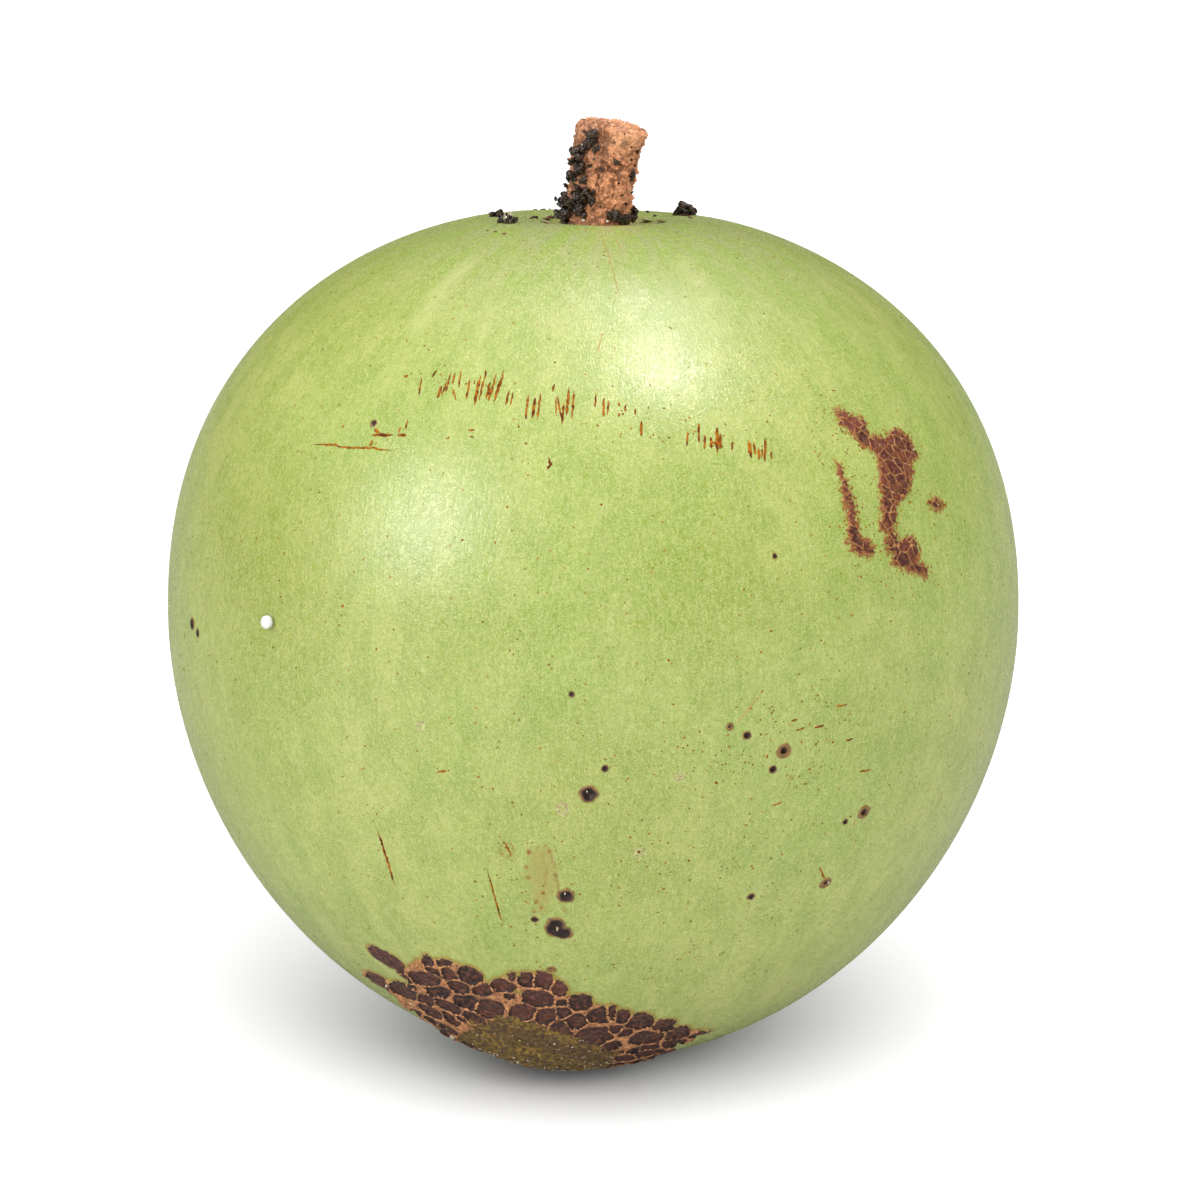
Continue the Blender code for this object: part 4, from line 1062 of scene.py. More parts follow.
def flakeCopies(shape, places, seed):
    copies = []
    directions = castToSkin([place[:2] for place in places])
    for number, (place, direction) in enumerate(zip(places, directions)):
        plane = skinPlane(direction)
        axes = np.stack([plane["right"], plane["up"], plane["middle"]]) * np.array(place[2:])[:, None]
        bump = 1 + noiseSum(shape, [(0.5, 1.3, seed + number * 2.3), (0.2, 3.0, seed + number)])
        copies.append(skinPoint(direction, place[4] * 0.35) + (shape * bump[:, None]) @ axes)
    return copies


def addFlakes(brownMaterial, paleMaterial):
    source, shape = icoSource(3)
    brown = tileCopies(source, flakeCopies(shape, flakes["brown"], 3.0))
    finishPiece(brown, "flakes_brown", "grit", brownMaterial)
    source, shape = icoSource(2)
    copies = flakeCopies(shape, flakes["pale"], 7.0)
    for angle, height, across, high in flakes["paleOnStalk"]:
        place, outwards = stalkPlace(height, math.radians(angle), 0.12)
        side = np.cross(stalkAxis, outwards[0])
        axes = np.stack([side * across, stalkAxis * high, outwards[0] * 0.14])
        copies.append(place[0] + shape @ axes)
    olive = flakes["olive"]
    draw = np.random.RandomState(17)
    plane = scar["plane"]
    for turn, reach, size in zip(draw.uniform(0, 2 * math.pi, olive["count"]),
                                 olive["reach"] * np.sqrt(draw.uniform(0, 1, olive["count"])),
                                 draw.uniform(0, 1, olive["count"]) ** 2):
        across = math.cos(turn) * plane["right"] + math.sin(turn) * plane["up"]
        direction = unit(plane["middle"] + across * math.tan(reach / plane["reach"]))
        place = skinPoint(direction, olive["rise"])
        radius = olive["size"][0] + (olive["size"][1] - olive["size"][0]) * size
        if place[2] > 0.5:
            axes = np.stack([across * draw.uniform(0.7, 2.2), np.cross(direction, across), direction])
            copies.append(place + shape @ (axes * radius))
    finishPiece(tileCopies(source, copies), "flecks_pale_and_glints", "grit", paleMaterial)


# White bead

bead = {"pixel": (269.8, 622.0), "radius": 0.6, "raised": 0.62, "flat": 0.12, "bumps": 0.02}


def addBead(material):
    source, shape = icoSource(5)
    direction = castToSkin([bead["pixel"]])[0]
    flat = 1 - bead["flat"] * smoothStep(0.3, 1.0, np.abs(shape @ direction))
    middle = skinPoint(direction, bead["radius"] * bead["raised"])
    bumps = 1 + bead["bumps"] * noiseAt(shape, 2.2, 5.0)
    placeVertices(source, middle + shape * (bead["radius"] * bumps * flat)[:, None])
    return finishPiece(source, "bead_white", "bead", material, "bead")


# Thin raised scratches, each a ribbon along the skin

scratches = {
    "profile": [(-1.0, -0.25), (-0.75, 0.45), (-0.25, 0.95), (0.35, 0.85), (0.8, 0.4), (1.0, -0.25)],
    "thickness": 0.045, "step": 0.18, "wobble": 0.07, "widen": 1.25,
    # path in pixels, half width in pixels
    "paths": [
        ([(421, 376), (418, 396.5)], 0.8), ([(436.4, 370), (431, 377)], 1.0), ([(451, 371), (445, 393)], 0.8),
        ([(461, 370), (458, 388)], 0.8), ([(470, 377.5), (465.6, 400)], 0.9), ([(480, 375), (474, 405)], 1.3),
        ([(490, 381), (485.5, 399)], 1.2), ([(492, 385), (488, 401)], 1.0),
        ([(504, 369), (500, 383), (493, 403)], 1.1), ([(509.6, 389), (505, 405)], 0.8),
        ([(513, 391), (510, 405)], 0.7), ([(528.5, 394), (525, 419)], 1.1), ([(535, 397), (532, 418)], 1.2),
        ([(540.6, 392), (537, 419)], 1.0), ([(554.3, 383), (553, 391)], 1.0),
        ([(556, 395), (556, 415)], 0.6), ([(564, 402), (562, 424)], 1.0),
        ([(568.7, 387), (566.5, 416)], 1.1), ([(574, 389), (571.7, 418)], 1.0),
        ([(596, 393), (595, 407)], 0.8), ([(604.4, 397), (603, 416)], 0.8), ([(608.7, 400), (607, 415)], 0.7),
        ([(619, 402), (619, 406)], 0.9), ([(619, 412), (619, 416)], 0.9), ([(625.4, 405), (625.4, 411)], 0.8),
        ([(635.7, 408), (635.7, 414)], 0.8), ([(641.4, 420.6), (641.4, 436)], 1.1),
        ([(688, 431), (687, 446)], 1.0), ([(699, 422), (699, 433.5)], 0.9),
        ([(704.8, 434), (704.8, 449)], 0.9),
        ([(717.5, 426), (717.5, 439.5), (718, 452)], 1.6), ([(732.7, 442), (732.7, 450)], 0.9),
        ([(749, 439.5), (751.6, 457.6)], 1.6), ([(759.4, 448), (759.4, 460)], 1.0),
        ([(766, 438), (765.4, 462)], 1.2), ([(772, 451), (772, 459)], 0.9),
        ([(310, 444), (333, 444), (342, 447), (359, 447.3), (373, 447.3), (379.5, 449), (394, 450)], 0.9),
        ([(371.8, 439.5), (369, 446)], 1.2), ([(370, 434.4), (393, 434.7)], 1.3),
        ([(373.5, 428), (379.5, 433)], 1.3), ([(397, 434.4), (406, 434.7)], 1.2),
        ([(400, 426), (397.6, 433)], 0.9), ([(407, 419), (404.5, 429)], 0.9),
        ([(441, 385), (437, 398)], 1.2), ([(447, 380), (441, 396)], 0.8), ([(455, 372), (452, 384)], 0.8),
        ([(452, 388), (456, 400)], 0.7), ([(484, 377), (479, 400)], 1.0), ([(496, 373), (490, 396)], 0.9),
        ([(499, 380), (494, 401)], 0.8), ([(486, 369), (484, 380)], 0.7), ([(557, 394), (562, 421)], 0.8),
        ([(603, 399), (604, 417)], 0.8), ([(711.5, 436), (712, 448)], 1.2),
        ([(720.8, 433), (720.8, 449)], 1.3), ([(754.5, 442), (755.5, 455)], 1.0),
        ([(699, 430), (699.5, 442)], 0.8), ([(763, 448), (762, 458)], 0.9),
        ([(468, 429.6), (475, 429.6)], 0.9), ([(469, 436.4), (474, 436.4)], 0.8),
        ([(548, 457), (551, 464), (546.6, 469)], 1.1), ([(713, 441), (724, 447)], 1.3),
        ([(376.5, 830), (383, 850), (390, 873), (394, 887)], 1.1), ([(435.6, 773), (447, 772)], 0.8),
        ([(487, 870), (493, 893), (500, 918), (503.6, 925)], 0.7), ([(836.7, 706.5), (848.3, 705.2)], 0.8),
        ([(845.8, 741.7), (854.1, 738.4)], 0.8), ([(859, 772), (872.3, 770.4)], 0.8),
        ([(815, 728), (825, 725.6)], 0.8), ([(791, 722), (798, 719)], 0.8), ([(796, 731), (806, 728)], 0.8),
        ([(773, 806), (782, 803)], 0.7), ([(826, 883), (820, 867)], 0.9), ([(504, 843), (511, 856)], 0.9),
    ],
    "faint": [
        ([(600.7, 229), (606, 248), (613, 270), (619.9, 298.6)], 0.35), ([(615.9, 238), (621.5, 249)], 0.35),
        ([(602, 336), (597, 352)], 0.4), ([(763, 691.6), (750, 708), (735, 726)], 0.4),
        ([(857, 818), (853, 828)], 0.5),
    ],
}


def ribbonPoints(path, halfWidth, seed):
    draw = np.random.RandomState(seed)
    path = np.array(path, float)
    lengths = np.linalg.norm(np.diff(path, axis=0), axis=1)
    along = np.concatenate([[0], np.cumsum(lengths)])
    count = max(5, int(along[-1] / pixelsPerMm / scratches["step"]))
    steps = np.linspace(0, along[-1], count)
    pixels = np.stack([np.interp(steps, along, path[:, 0]), np.interp(steps, along, path[:, 1])], 1)
    pixels += draw.normal(0, scratches["wobble"] * 4, pixels.shape)
    directions = castToSkin(pixels)
    ahead = unit(np.gradient(directions, axis=0))
    sideways = unit(np.cross(ahead, directions))
    share = np.linspace(0, 1, count)
    taper = np.clip(np.minimum(share, 1 - share) * 5, 0.12, 1) * draw.uniform(0.65, 1.25, count)
    radius = bodyRadius(directions) + skinRelief(directions)
    rings = []
    for across, out in scratches["profile"]:
        lift = radius + scratches["thickness"] * out * np.minimum(taper, 1)
        rings.append(centre + directions * lift[:, None]
                     + sideways * (across * halfWidth * scratches["widen"] / pixelsPerMm * taper)[:, None])
    return np.stack(rings, 1)


def addScratches(material):
    points, faces, faint = [], [], []
    sides = len(scratches["profile"])
    for number, (path, halfWidth) in enumerate(scratches["paths"] + scratches["faint"]):
        rings = ribbonPoints(path, halfWidth, number)
        first = sum(len(part) for part in points)
        count = len(rings)
        for ring in range(count - 1):
            for side in range(sides):
                a, b = first + ring * sides + side, first + ring * sides + (side + 1) % sides
                faces.append((a, b, b + sides, a + sides))
        faces.append(tuple(first + side for side in reversed(range(sides))))
        faces.append(tuple(first + (count - 1) * sides + side for side in range(sides)))
        points.append(rings.reshape(-1, 3))
        faint += [float(number >= len(scratches["paths"]))] * (count * sides)
    mesh = bpy.data.meshes.new("scratches")
    mesh.from_pydata((np.concatenate(points) * mm).tolist(), [], faces)
    piece = newObject("scratches", mesh)
    setAttribute(piece, "faint", faint)
    recalculateNormals(piece)
    return finishPiece(piece, "scratches", "skin", material)


def recalculateNormals(piece):
    selectOnly(piece)
    bpy.ops.object.mode_set(mode="EDIT")
    bpy.ops.mesh.select_all(action="SELECT")
    bpy.ops.mesh.normals_make_consistent(inside=False)
    bpy.ops.object.mode_set(mode="OBJECT")


# Specks: small brown lenticels all round, and the darker ones that the photo shows

specks = {
    "count": 3000, "radius": (0.045, 0.13), "rise": 0.03,
    # how far those all round keep from the tip, the stalk's axis and the floor
    "fromTip": 16.8, "fromAxis": 6.0, "fromFloor": 0.4,
    # extra groups of specks: middle, half width and half height in pixels, and how many
    "groupRadius": (0.045, 0.12),
    "groups": [(700, 762, 55, 32, 42), (805, 738, 55, 52, 70), (700, 890, 95, 60, 50), (775, 880, 60, 65, 42),
               (640, 842, 30, 30, 14), (640, 985, 80, 28, 26), (930, 800, 50, 110, 40),
               (740, 960, 60, 40, 30),
               (833, 430, 22, 42, 60), (870, 500, 22, 60, 36), (500, 860, 22, 26, 12), (545, 870, 24, 42, 22),
               (640, 420, 60, 22, 22), (440, 385, 40, 20, 16), (715, 440, 60, 16, 22), (925, 560, 30, 40, 26),
               (290, 600, 90, 120, 20), (870, 560, 30, 30, 16)],
    "round": {"count": 190, "away": 4.0, "radius": (0.05, 0.15)},    # specks round the scab
    "shown": [(946.8, 505, 2.2), (767.5, 757, 2), (716.7, 783.2, 1.7), (833.5, 742.6, 1.5),
              (802, 742.6, 1.4), (762.6, 691.5, 1.2), (782.5, 854.8, 1.4), (722.7, 765, 1), (711, 767, 1),
              (694.6, 768, 1), (693.6, 771.7, 1),
              (788, 740.8, 1), (503.7, 843.6, 1.5), (510.3, 855.8, 1.5), (630.5, 838, 1.5), (639, 853, 2),
              (642, 821, 1.2), (341.7, 606, 2.1), (518.5, 426, 1.3), (571.5, 885, 1.3), (579.7, 895.4, 1.4),
              (851, 817, 1.8), (405.4, 375.8, 2.4), (297, 451, 1.1), (301, 452, 1.0), (510.7, 870, 1.1),
              (516.4, 880.5, 1.1), (522, 894, 1.1), (487.5, 230.4, 1.2)],
}


def addSpecks(material):
    deselectAll()
    bpy.ops.mesh.primitive_cone_add(vertices=7, radius1=1, radius2=0.55, depth=1, end_fill_type="TRIFAN")
    source = bpy.context.object
    shape = coordinatesOf(source)
    draw = np.random.RandomState(23)
    count = specks["count"]
    heights = draw.uniform(-1, 1, count)
    turns = draw.uniform(0, 2 * math.pi, count)
    across = np.sqrt(1 - heights ** 2)
    directions = np.stack([across * np.cos(turns), across * np.sin(turns), heights], 1)
    keep = directions @ tipAxis < math.cos(specks["fromTip"] / body["bottomHeight"])
    keep &= directions @ stalkAxis < math.cos(specks["fromAxis"] / body["topHeight"])
    keep &= skinPoints(directions)[:, 2] > specks["fromFloor"]
    directions = directions[keep]
    low, high = specks["radius"]
    sizes = low + (high - low) * draw.uniform(0, 1, len(directions)) ** 2.2
    pixels = [place[:2] for place in specks["shown"]]
    shownSizes = [place[2] / pixelsPerMm for place in specks["shown"]]
    for x, y, halfWidth, halfHeight, count in specks["groups"]:
        turns, reaches = draw.uniform(0, 2 * math.pi, count), np.sqrt(draw.uniform(0, 1, count))
        pixels += list(zip(x + halfWidth * reaches * np.cos(turns), y + halfHeight * reaches * np.sin(turns)))
        shownSizes += list(draw.uniform(*specks["groupRadius"], count))
    roundScab = np.vstack([np.array(outline) for outline in scab["outlines"]])
    chosen = roundScab[draw.randint(0, len(roundScab), specks["round"]["count"])]
    pixels += list(chosen + draw.normal(0, specks["round"]["away"], chosen.shape))
    shownSizes += list(draw.uniform(*specks["round"]["radius"], len(chosen)))
    directions = np.vstack([directions, castToSkin(pixels)])
    sizes = np.concatenate([sizes, shownSizes])
    radius = bodyRadius(directions) + skinRelief(directions)
    copies = []
    for direction, size, reach in zip(directions, sizes, radius):
        right = unit(np.cross([0.1, 0.2, 1.0], direction))
        up = np.cross(direction, right)
        stretch = draw.uniform(0.75, 1.25)
        rise = specks["rise"] * min(1.0, size / 0.1)
        copies.append(centre + direction * reach + shape[:, :1] * right * size * stretch
                      + shape[:, 1:2] * up * size / stretch + shape[:, 2:] * direction * rise)
    return finishPiece(tileCopies(source, copies), "specks", "skin", material)


# Materials

skinColours = {
    "green": (0.215, 0.288, 0.048), "yellow": (0.286, 0.325, 0.073), "pale": (0.315, 0.340, 0.095),
    # the lush green that ends the next line is painted shade
    "deep": (0.152, 0.226, 0.026), "light": (0.40, 0.43, 0.16), "paintedShade": (0.166, 0.210, 0.010),
    # the crown's greyer, bluer tone is partly the top's own tone, partly a painted sheen
    "crownToneAndSheen": (0.176, 0.180, 0.104), "pore": (0.17, 0.125, 0.004), "poreOrange": (0.26, 0.11, 0.002),
    "ring": (0.26, 0.16, 0.10), "tan": (0.27, 0.235, 0.055), "stainAndShade": (0.20, 0.085, 0.012),
    "fringe": (0.23, 0.105, 0.004),
}
skinShares = {"streaks": 0.45, "patches": 0.55, "crownToneAndSheen": 0.72, "fibres": 0.24, "grain": 0.36, "felt": 0.5,
              "pores": 0.8, "tan": 0.7, "fringe": 0.75, "belt": 0.65, "rim": 0.85}
skinPores = {"scale": 0.9, "radius": 0.17, "share": 0.9}
crownToneAndSheenHeights = (26.0, 52.0)                     # along the skin, where the crown's greyer tone, partly a painted sheen, begins and is full
skinClouds = {                                  # what each follows, scale, detail, low, high, stretch, warp
    "broad": ("place", 0.05, 2.0, 0.36, 0.64), "streaks": ("meridian", 0.2, 3.0, 0.36, 0.64, 6.0),
    "patches": ("meridian", 0.32, 4.0, 0.4, 0.62, 1.6), "fibres": ("meridian", 4.0, 2.0, 0.4, 0.64, 4.5),
    "grain": ("place", 2.1, 2.0, 0.42, 0.6, 1.0, 0.8), "felt": ("place", 3.0, 1.0, 0.46, 0.58, 1.0, 3.0),
    "wobble": ("place", 3.0, 1.0, 0.0, 1.0), "fine": ("place", 2.4, 2.0, 0.3, 0.7),
    "plate": ("place", 2.4, 3.0, 0.4, 0.64), "olive": ("place", 2.6, 3.0, 0.35, 0.66),
}
scarColours = {
    "netDark": (0.10, 0.025, 0.004), "netLight": (0.54, 0.225, 0.07),
    "plateDark": (0.012, 0.002, 0.001), "plateRed": (0.07, 0.012, 0.004), "plateLight": (0.15, 0.04, 0.013),
    "scabDark": (0.045, 0.004, 0.001), "scabRed": (0.115, 0.014, 0.003), "scabOrange": (0.27, 0.085, 0.002),
    "crack": (0.44, 0.20, 0.045), "beltDark": (0.035, 0.012, 0.002), "beltLight": (0.12, 0.052, 0.006),
    "oliveDark": (0.06, 0.024, 0.0002), "oliveLight": (0.21, 0.12, 0.0005),
    "wartRim": (0.10, 0.022, 0.003), "wartTan": (0.25, 0.08, 0.004), "wartDark": (0.016, 0.003, 0.001),
}
# where each tone begins and is full, as depth in a plate, in the crust or in the olive middle
scarDepths = {"net": (0.07, 0.14), "plate": (0.14, 0.34), "crack": (0.015, 0.06), "scabRim": (0.36, 0.12),
              "olive": (0.1, 0.6), "crust": (0.1, 0.2), "fibreStep": 0.17}
skinGloss = {"rough": 0.26, "grain": 0.05, "crust": 0.26, "rim": 0.16, "specular": 0.8}
skinBumps = {"grain": 0.4, "fibres": 0.3, "felt": 0.4, "plate": 3.5, "depth": 0.02}
thrownOnFloor = {"tone": (0.25, 0.25, 0.25), "share": 0.7}    # the light that the skin throws on the floor


def greenSkin(tree, place, meridian, field, cloud):
    tint, share = skinColours, skinShares
    green = mixColours(tree, cloud["broad"], tint["green"], tint["yellow"])
    height = addNode(tree, "SeparateXYZ", {0: meridian}).outputs["Z"]
    # the top's greyer tone, partly a painted sheen
    crownToneAndSheen = mixColours(tree, cloud["patches"], tint["crownToneAndSheen"], tint["deep"])
    pores = useGroup(tree, "flecks", vector=place, **skinPores)
    poreColour = mixColours(tree, pores[1], tint["pore"], tint["poreOrange"])
    ringColour = mixColours(tree, cloud["felt"], tint["ring"], tint["light"])
    for mask, over, strength in [
            (cloud["streaks"], tint["pale"], share["streaks"]),
            (cloud["patches"], tint["deep"], share["patches"]),
            # the lush layer on this line is painted shade
            (remap(tree, height, *crownToneAndSheenHeights), crownToneAndSheen, share["crownToneAndSheen"]), (field["paintedShade"], tint["paintedShade"], 1),
            (cloud["fibres"], tint["light"], share["fibres"]), (cloud["grain"], tint["deep"], share["grain"]),
            (cloud["felt"], tint["light"], share["felt"]), (pores[0], poreColour, share["pores"]),
            (field["pale"], tint["light"], 1), (field["ring"], ringColour, 1),
            # the stain layer holds real stains and, round the stalk, painted shade of the hollow
            (field["tan"], tint["tan"], share["tan"]), (field["stainAndShade"], tint["stainAndShade"], 1),
            (field["fringe"], tint["fringe"], share["fringe"])]:
        green = layer(tree, green, mask, over, strength)
    return green


def crustColours(tree, field, cloud, wobble):   # plates, the net between them, the scab and the olive middle
    tint, depth = scarColours, scarDepths
    lineAt = plus(tree, field["border"], calculate(tree, "SUBTRACT", wobble, 0.15))
    net = invert(tree, remap(tree, lineAt, *depth["net"]))
    fibreWave = calculate(tree, "SINE", times(tree, lineAt, 2 * math.pi / depth["fibreStep"]))
    netShare = plus(tree, times(tree, fibreWave, 0.3), remap(tree, cloud["fine"], 0.0, 1.0, 0.3, 0.9))
    netColour = mixColours(tree, times(tree, netShare, 0.9, clamp=True), tint["netDark"], tint["netLight"])
    plate = mixColours(tree, field["tone"], tint["plateDark"], tint["plateRed"])
    plate = layer(tree, plate, cloud["plate"], tint["plateLight"], 0.75)
    plate = mixColours(tree, remap(tree, lineAt, *depth["plate"]), tint["plateDark"], plate)
    scarColour = mixColours(tree, net, plate, netColour)
    crackAt = plus(tree, field["border"], times(tree, calculate(tree, "SUBTRACT", cloud["fine"], 0.5), 0.06))
    crack = invert(tree, remap(tree, crackAt, *depth["crack"]))
    scabColour = mixColours(tree, field["tone"], tint["scabDark"], tint["scabRed"])
    scabColour = layer(tree, scabColour, cloud["plate"], tint["scabOrange"], 0.35)
    crack = times(tree, crack, remap(tree, cloud["fine"], 0.0, 0.6, 0.4, 0.95))
    scabColour = mixColours(tree, crack, scabColour, tint["crack"])
    rim = remap(tree, field["crust"], *depth["scabRim"])
    scabColour = layer(tree, scabColour, rim, tint["scabOrange"], 0.8)
    crust = mixColours(tree, field["scabby"], scarColour, scabColour)
    olive = mixColours(tree, cloud["olive"], tint["oliveDark"], tint["oliveLight"])
    belt = mixColours(tree, cloud["fine"], tint["beltDark"], tint["beltLight"])
    olive = layer(tree, olive, field["belt"], belt, skinShares["belt"])
    oliveAt = plus(tree, field["olive"], times(tree, wobble, 2.0))
    return mixColours(tree, remap(tree, oliveAt, *depth["olive"]), crust, olive)


def makeSkinMaterial():
    material, tree, shader, place = newMaterial("appleSkin")
    follows = {"place": place, "meridian": readAttribute(tree, "meridian", vector=True)}
    field = {name: readAttribute(tree, name) for name in (*crustFields, *markFields)}
    cloud = {name: mottleAt(tree, follows[what], *values) for name, (what, *values) in skinClouds.items()}
    wobble = times(tree, cloud["wobble"], 0.3)
    inCrust = remap(tree, plus(tree, field["crust"], wobble), *scarDepths["crust"])
    colour = mixColours(tree, inCrust, greenSkin(tree, place, follows["meridian"], field, cloud),
                        crustColours(tree, field, cloud, wobble))
    rim = mixColours(tree, times(tree, cloud["grain"], 0.7), scarColours["wartRim"], scarColours["wartTan"])
    colour = layer(tree, colour, field["rim"], rim, skinShares["rim"])
    colour = layer(tree, colour, field["dark"], scarColours["wartDark"])
    onFloor = addNode(tree, "LightPath").outputs["Is Diffuse Ray"]
    colour = layer(tree, colour, onFloor, thrownOnFloor["tone"], thrownOnFloor["share"])
    feed(tree, shader.inputs["Base Color"], colour)

    rough = skinGloss["rough"]
    for mask, name in [(cloud["grain"], "grain"), (inCrust, "crust"), (field["rim"], "rim")]:
        rough = plus(tree, rough, times(tree, mask, skinGloss[name]))
    feed(tree, shader.inputs["Roughness"], rough)
    shader.inputs["Specular IOR Level"].default_value = skinGloss["specular"]
    height = times(tree, times(tree, cloud["plate"], inCrust), skinBumps["plate"])
    for name in ("grain", "fibres", "felt"):
        height = plus(tree, height, times(tree, cloud[name], skinBumps[name]))
    addBump(tree, shader, height, skinBumps["depth"])
    return material


barkColours = {
    # the shade colour is painted shade for the stalk's left side
    "dark": (0.36, 0.125, 0.045), "warm": (0.66, 0.26, 0.11), "shade": (0.17, 0.075, 0.04),
    # the cavity colour is painted shade in the crevices
    # the pale grain colour is partly the bark's grain, partly a painted highlight on its high points
    "cut": (0.58, 0.28, 0.135), "grain": (0.80, 0.42, 0.22), "creviceShade": (0.06, 0.022, 0.012),
    "pit": (0.03, 0.015, 0.01),
}
gritColours = {"black": (0.010, 0.005, 0.003), "brown": (0.042, 0.019, 0.011), "dust": (0.12, 0.08, 0.05)}


def makeBarkMaterial():
    material, tree, shader, place = newMaterial("stalkBark")
    relief, light, turn = (readAttribute(tree, name) for name in ("relief", "light", "turn"))
    clouds = mottleAt(tree, place, 0.6, 3.0, 0.36, 0.64)
    grain = mottleAt(tree, place, 3.2, 3.0, 0.36, 0.66)
    # dark spots for the bark's pits, partly their own dark colour, partly painted shade
    pitShade = useGroup(tree, "flecks", vector=place, scale=1.1, radius=0.15, share=0.4)[0]
    # darker where the bark's relief is low: painted shade in the crevices
    creviceShade = invert(tree, remap(tree, relief, -0.22, 0.0))
    colour = mixColours(tree, clouds, barkColours["dark"], barkColours["warm"])
    # the first layer darkens the stalk's left side as painted shade
    for mask, tint, strength in [(remap(tree, turn, 0.1, -0.9), "shade", 0.5), (light, "cut", 0.6),
                                 # the grain layer is partly a painted highlight on the grain's high points
                                 (grain, "grain", 0.45), (creviceShade, "creviceShade", 0.6), (pitShade, "pit", 0.9)]:
        colour = layer(tree, colour, mask, barkColours[tint], strength)
    feed(tree, shader.inputs["Base Color"], colour)
    feed(tree, shader.inputs["Roughness"], remap(tree, grain, 0.0, 1.0, 0.36, 0.6))
    addBump(tree, shader, grain, 0.1)
    return material


def makeGritMaterial():
    material, tree, shader, place = newMaterial("blackGrit")
    clouds = mottleAt(tree, place, 1.5, 2.0, 0.4, 0.7)
    colour = mixColours(tree, clouds, gritColours["black"], gritColours["brown"])
    dust = useGroup(tree, "flecks", vector=place, scale=2.0, radius=0.12, share=0.3)[0]
    colour = layer(tree, colour, dust, gritColours["dust"], 0.5)
    feed(tree, shader.inputs["Base Color"], colour)
    feed(tree, shader.inputs["Roughness"], remap(tree, clouds, 0.0, 1.0, 0.12, 0.32))
    shader.inputs["Specular IOR Level"].default_value = 0.9
    addBump(tree, shader, mottleAt(tree, place, 5.0, 2.0, 0.3, 0.7), 0.06)
    return material


# the plainer finishes: the clouds' scale, detail, low and high, the two colours, and the two roughnesses
finishes = {
    "beadWhite": {"clouds": (1.6, 3.0), "colours": ((0.48, 0.475, 0.44), (0.60, 0.595, 0.565)),
                  "rough": (0.3, 0.4), "specular": 0.5, "bump": 0.01},
    "flakeBrown": {"clouds": (1.8, 4.0, 0.4, 0.62), "colours": ((0.028, 0.01, 0.007), (0.17, 0.055, 0.025)),
                   "rough": (0.35, 0.55), "specular": 0.5},
    # pale flakes, also used for the painted glints on the warts
    "flakePaleAndGlint": {"clouds": (1.5, 3.0, 0.4, 0.6), "colours": ((0.34, 0.27, 0.15), (0.56, 0.52, 0.42)),
                  "rough": (0.35, 0.5), "specular": 0.5},
    "corkyScratch": {"clouds": (1.6, 4.0, 0.42, 0.6), "colours": ((0.27, 0.092, 0.003), (0.09, 0.018, 0.002)),
                     "rough": (0.6, 0.75), "specular": 0.1, "faint": (0.36, 0.23, 0.06)},
    "speckBrown": {"clouds": (0.9, 2.0), "colours": ((0.25, 0.088, 0.003), (0.10, 0.024, 0.002)),
                   "rough": (0.65, 0.8), "specular": 0.1},
}


def makeFinish(name):
    finish = finishes[name]
    material, tree, shader, place = newMaterial(name)
    clouds = mottleAt(tree, place, *finish["clouds"])
    colour = mixColours(tree, clouds, *finish["colours"])
    if "faint" in finish:
        colour = layer(tree, colour, readAttribute(tree, "faint"), finish["faint"])
    feed(tree, shader.inputs["Base Color"], colour)
    feed(tree, shader.inputs["Roughness"], remap(tree, clouds, 0.0, 1.0, *finish["rough"]))
    shader.inputs["Specular IOR Level"].default_value = finish["specular"]
    if "bump" in finish:
        addBump(tree, shader, clouds, finish["bump"])
    return material


# Floor, light and camera

studio = {
    "floorSize": 4000.0, "floorTone": 0.96, "floorInGloss": 0.3,
    # the sky's strength low down and overhead, and the heights between which it grows
    "skyLow": 0.65, "skyHigh": 1.3, "skyFrom": 0.1, "skyTo": 0.85,
}
# direction and distance of each soft box, its width and length, the way its length lies, power, and what it
# lights: everything without a reflection of its own, the apple alone, or the floor alone
softBoxes = {
    "boxFront": ((0.3, -0.93, 0.24), 1200.0, (1000.0, 1000.0), (1.0, 0, 0), 6.5, "all"),
    "boxAbove": ((0.25, -0.1, 0.95), 900.0, (170.0, 260.0), (0.2, -0.84, 0.11), 3.3, "apple"),
    "boxBack": ((0.15, 0.28, 0.92), 900.0, (110.0, 420.0), (0.2, -0.84, 0.11), 1.7, "apple"),
    "boxLeft": ((-0.685, -0.56, 0.466), 900.0, (400.0, 420.0), (0, 0, 1.0), 4.7, "apple"),
    "boxTop": ((0, 0.15, 1.0), 900.0, (900.0, 900.0), (1.0, 0, 0), 1.6, "apple"),
    "boxFloor": ((0.05, -0.65, 0.76), 1200.0, (1200.0, 1200.0), (1.0, 0, 0), 11.0, "floor"),
}


def lampTurn(direction, lie):                   # Z towards the lamp, Y along its length
    ahead = unit(direction)
    length = unit(np.array(lie) - ahead * (ahead @ np.array(lie)))
    return Matrix(np.stack([np.cross(length, ahead), length, ahead], 1).tolist()).to_euler()


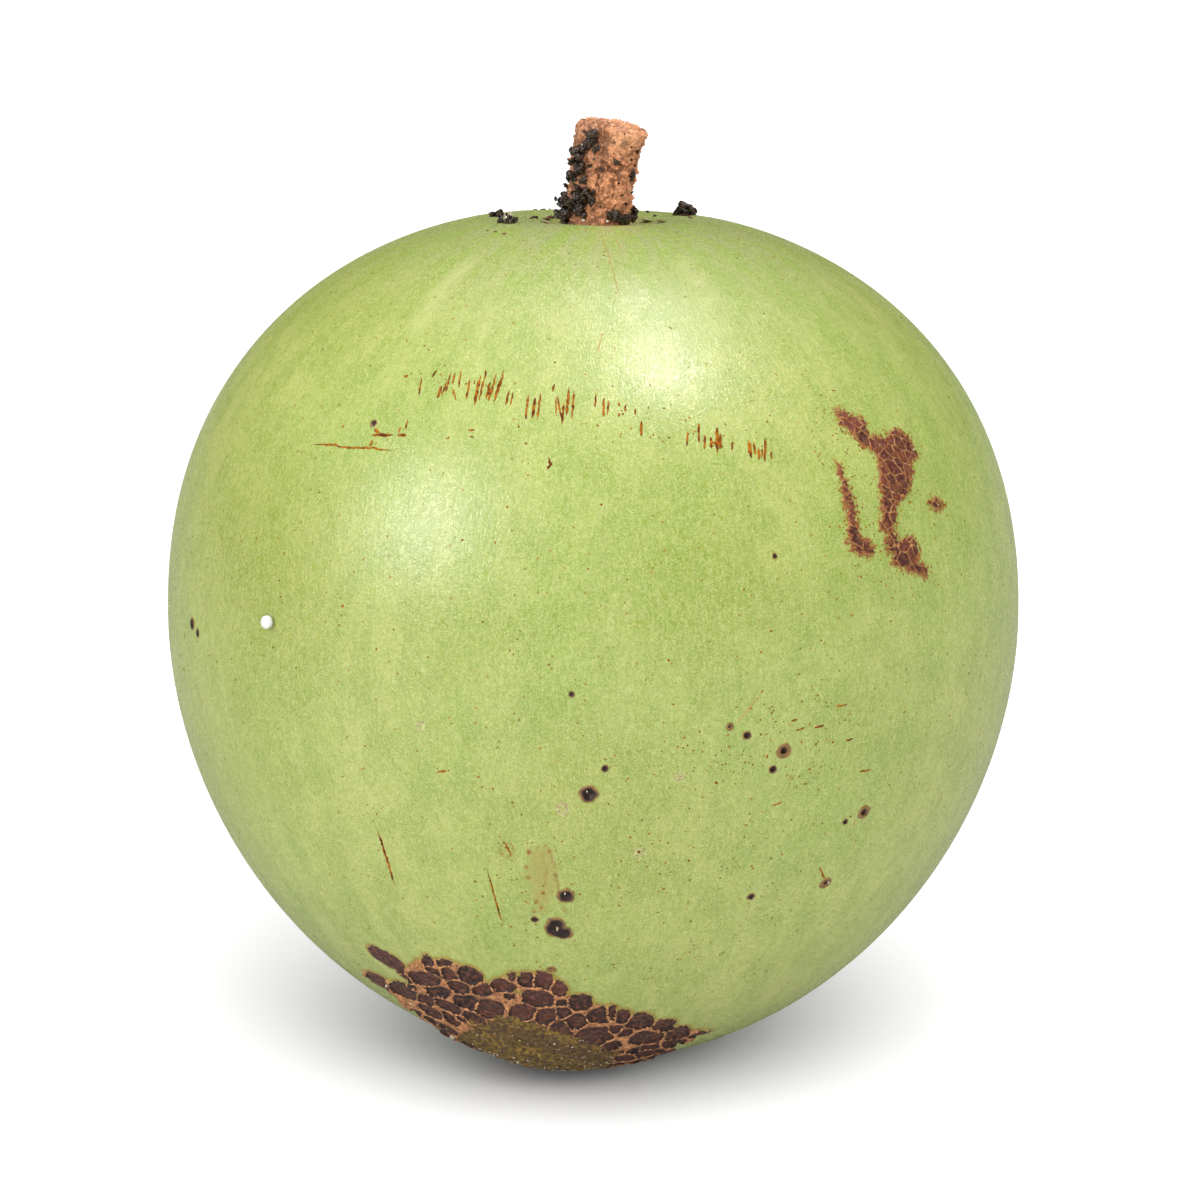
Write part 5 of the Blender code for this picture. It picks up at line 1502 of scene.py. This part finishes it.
def addStudio():
    deselectAll()
    bpy.ops.mesh.primitive_plane_add(size=studio["floorSize"] * mm)
    floor = bpy.context.object
    floor.name = "floor"
    tone = studio["floorTone"]
    material, tree, shader, place = newMaterial("paleFloor")
    clouds = mottleAt(tree, place, 0.01, 3.0)
    seen = mixColours(tree, clouds, (tone, tone, tone), (tone, tone, tone * 0.995))
    inGloss = addNode(tree, "LightPath").outputs["Is Glossy Ray"]
    feed(tree, shader.inputs["Base Color"], layer(tree, seen, inGloss, (studio["floorInGloss"],) * 3))
    shader.inputs["Roughness"].default_value = 0.9
    shader.inputs["Specular IOR Level"].default_value = 0.1
    floor.data.materials.append(material)
    floor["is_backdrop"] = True
    world = bpy.data.worlds.new("studioWorld")
    world.use_nodes = True
    sky = world.node_tree
    upwards = addNode(sky, "SeparateXYZ", {0: addNode(sky, "TexCoord").outputs["Generated"]}).outputs["Z"]
    strength = remap(sky, upwards, studio["skyFrom"], studio["skyTo"], studio["skyLow"], studio["skyHigh"])
    feed(sky, sky.nodes["Background"].inputs["Strength"], strength)
    sky.nodes["Background"].inputs["Color"].default_value = (1, 1, 1, 1)
    world.cycles_visibility.glossy = False
    bpy.context.scene.world = world
    lit = {name: bpy.data.collections.new(name + "Lit") for name in ("apple", "floor")}
    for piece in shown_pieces():
        lit["apple"].objects.link(piece)
    lit["floor"].objects.link(floor)
    for name, (direction, distance, (width, length), lie, power, target) in softBoxes.items():
        light = bpy.data.lights.new(name, "AREA")
        light.shape = "RECTANGLE"
        light.size = width * mm
        light.size_y = length * mm
        light.energy = power
        lamp = newObject(name, light)
        lamp.location = (centre + unit(direction) * distance) * mm
        lamp.rotation_euler = lampTurn(direction, lie)
        lamp.visible_glossy = target == "apple"
        if target != "all":
            lamp.light_linking.receiver_collection = lit[target]
    bpy.context.scene.view_settings.view_transform = "Standard"


def addCamera():
    lens = bpy.data.cameras.new("camera")
    lens.sensor_width = 36
    lens.lens = photo["focal"] * lens.sensor_width / photo["size"]
    lens.clip_start, lens.clip_end = 0.05, 20
    camera = newObject("camera", lens)
    camera.location = eye * mm
    camera.rotation_euler = (math.pi / 2 - sight, 0, 0)
    bpy.context.scene.camera = camera


addCamera()
addSkin(makeSkinMaterial())
print("skin done")
addStalk(makeBarkMaterial())
print("stalk done")
addCrumbs(makeGritMaterial())
addFlakes(makeFinish("flakeBrown"), makeFinish("flakePaleAndGlint"))
addBead(makeFinish("beadWhite"))
print("crumbs and bead done")
addScratches(makeFinish("corkyScratch"))
addSpecks(makeFinish("speckBrown"))
print("scratches and specks done")
addStudio()
bpy.context.view_layer.update()
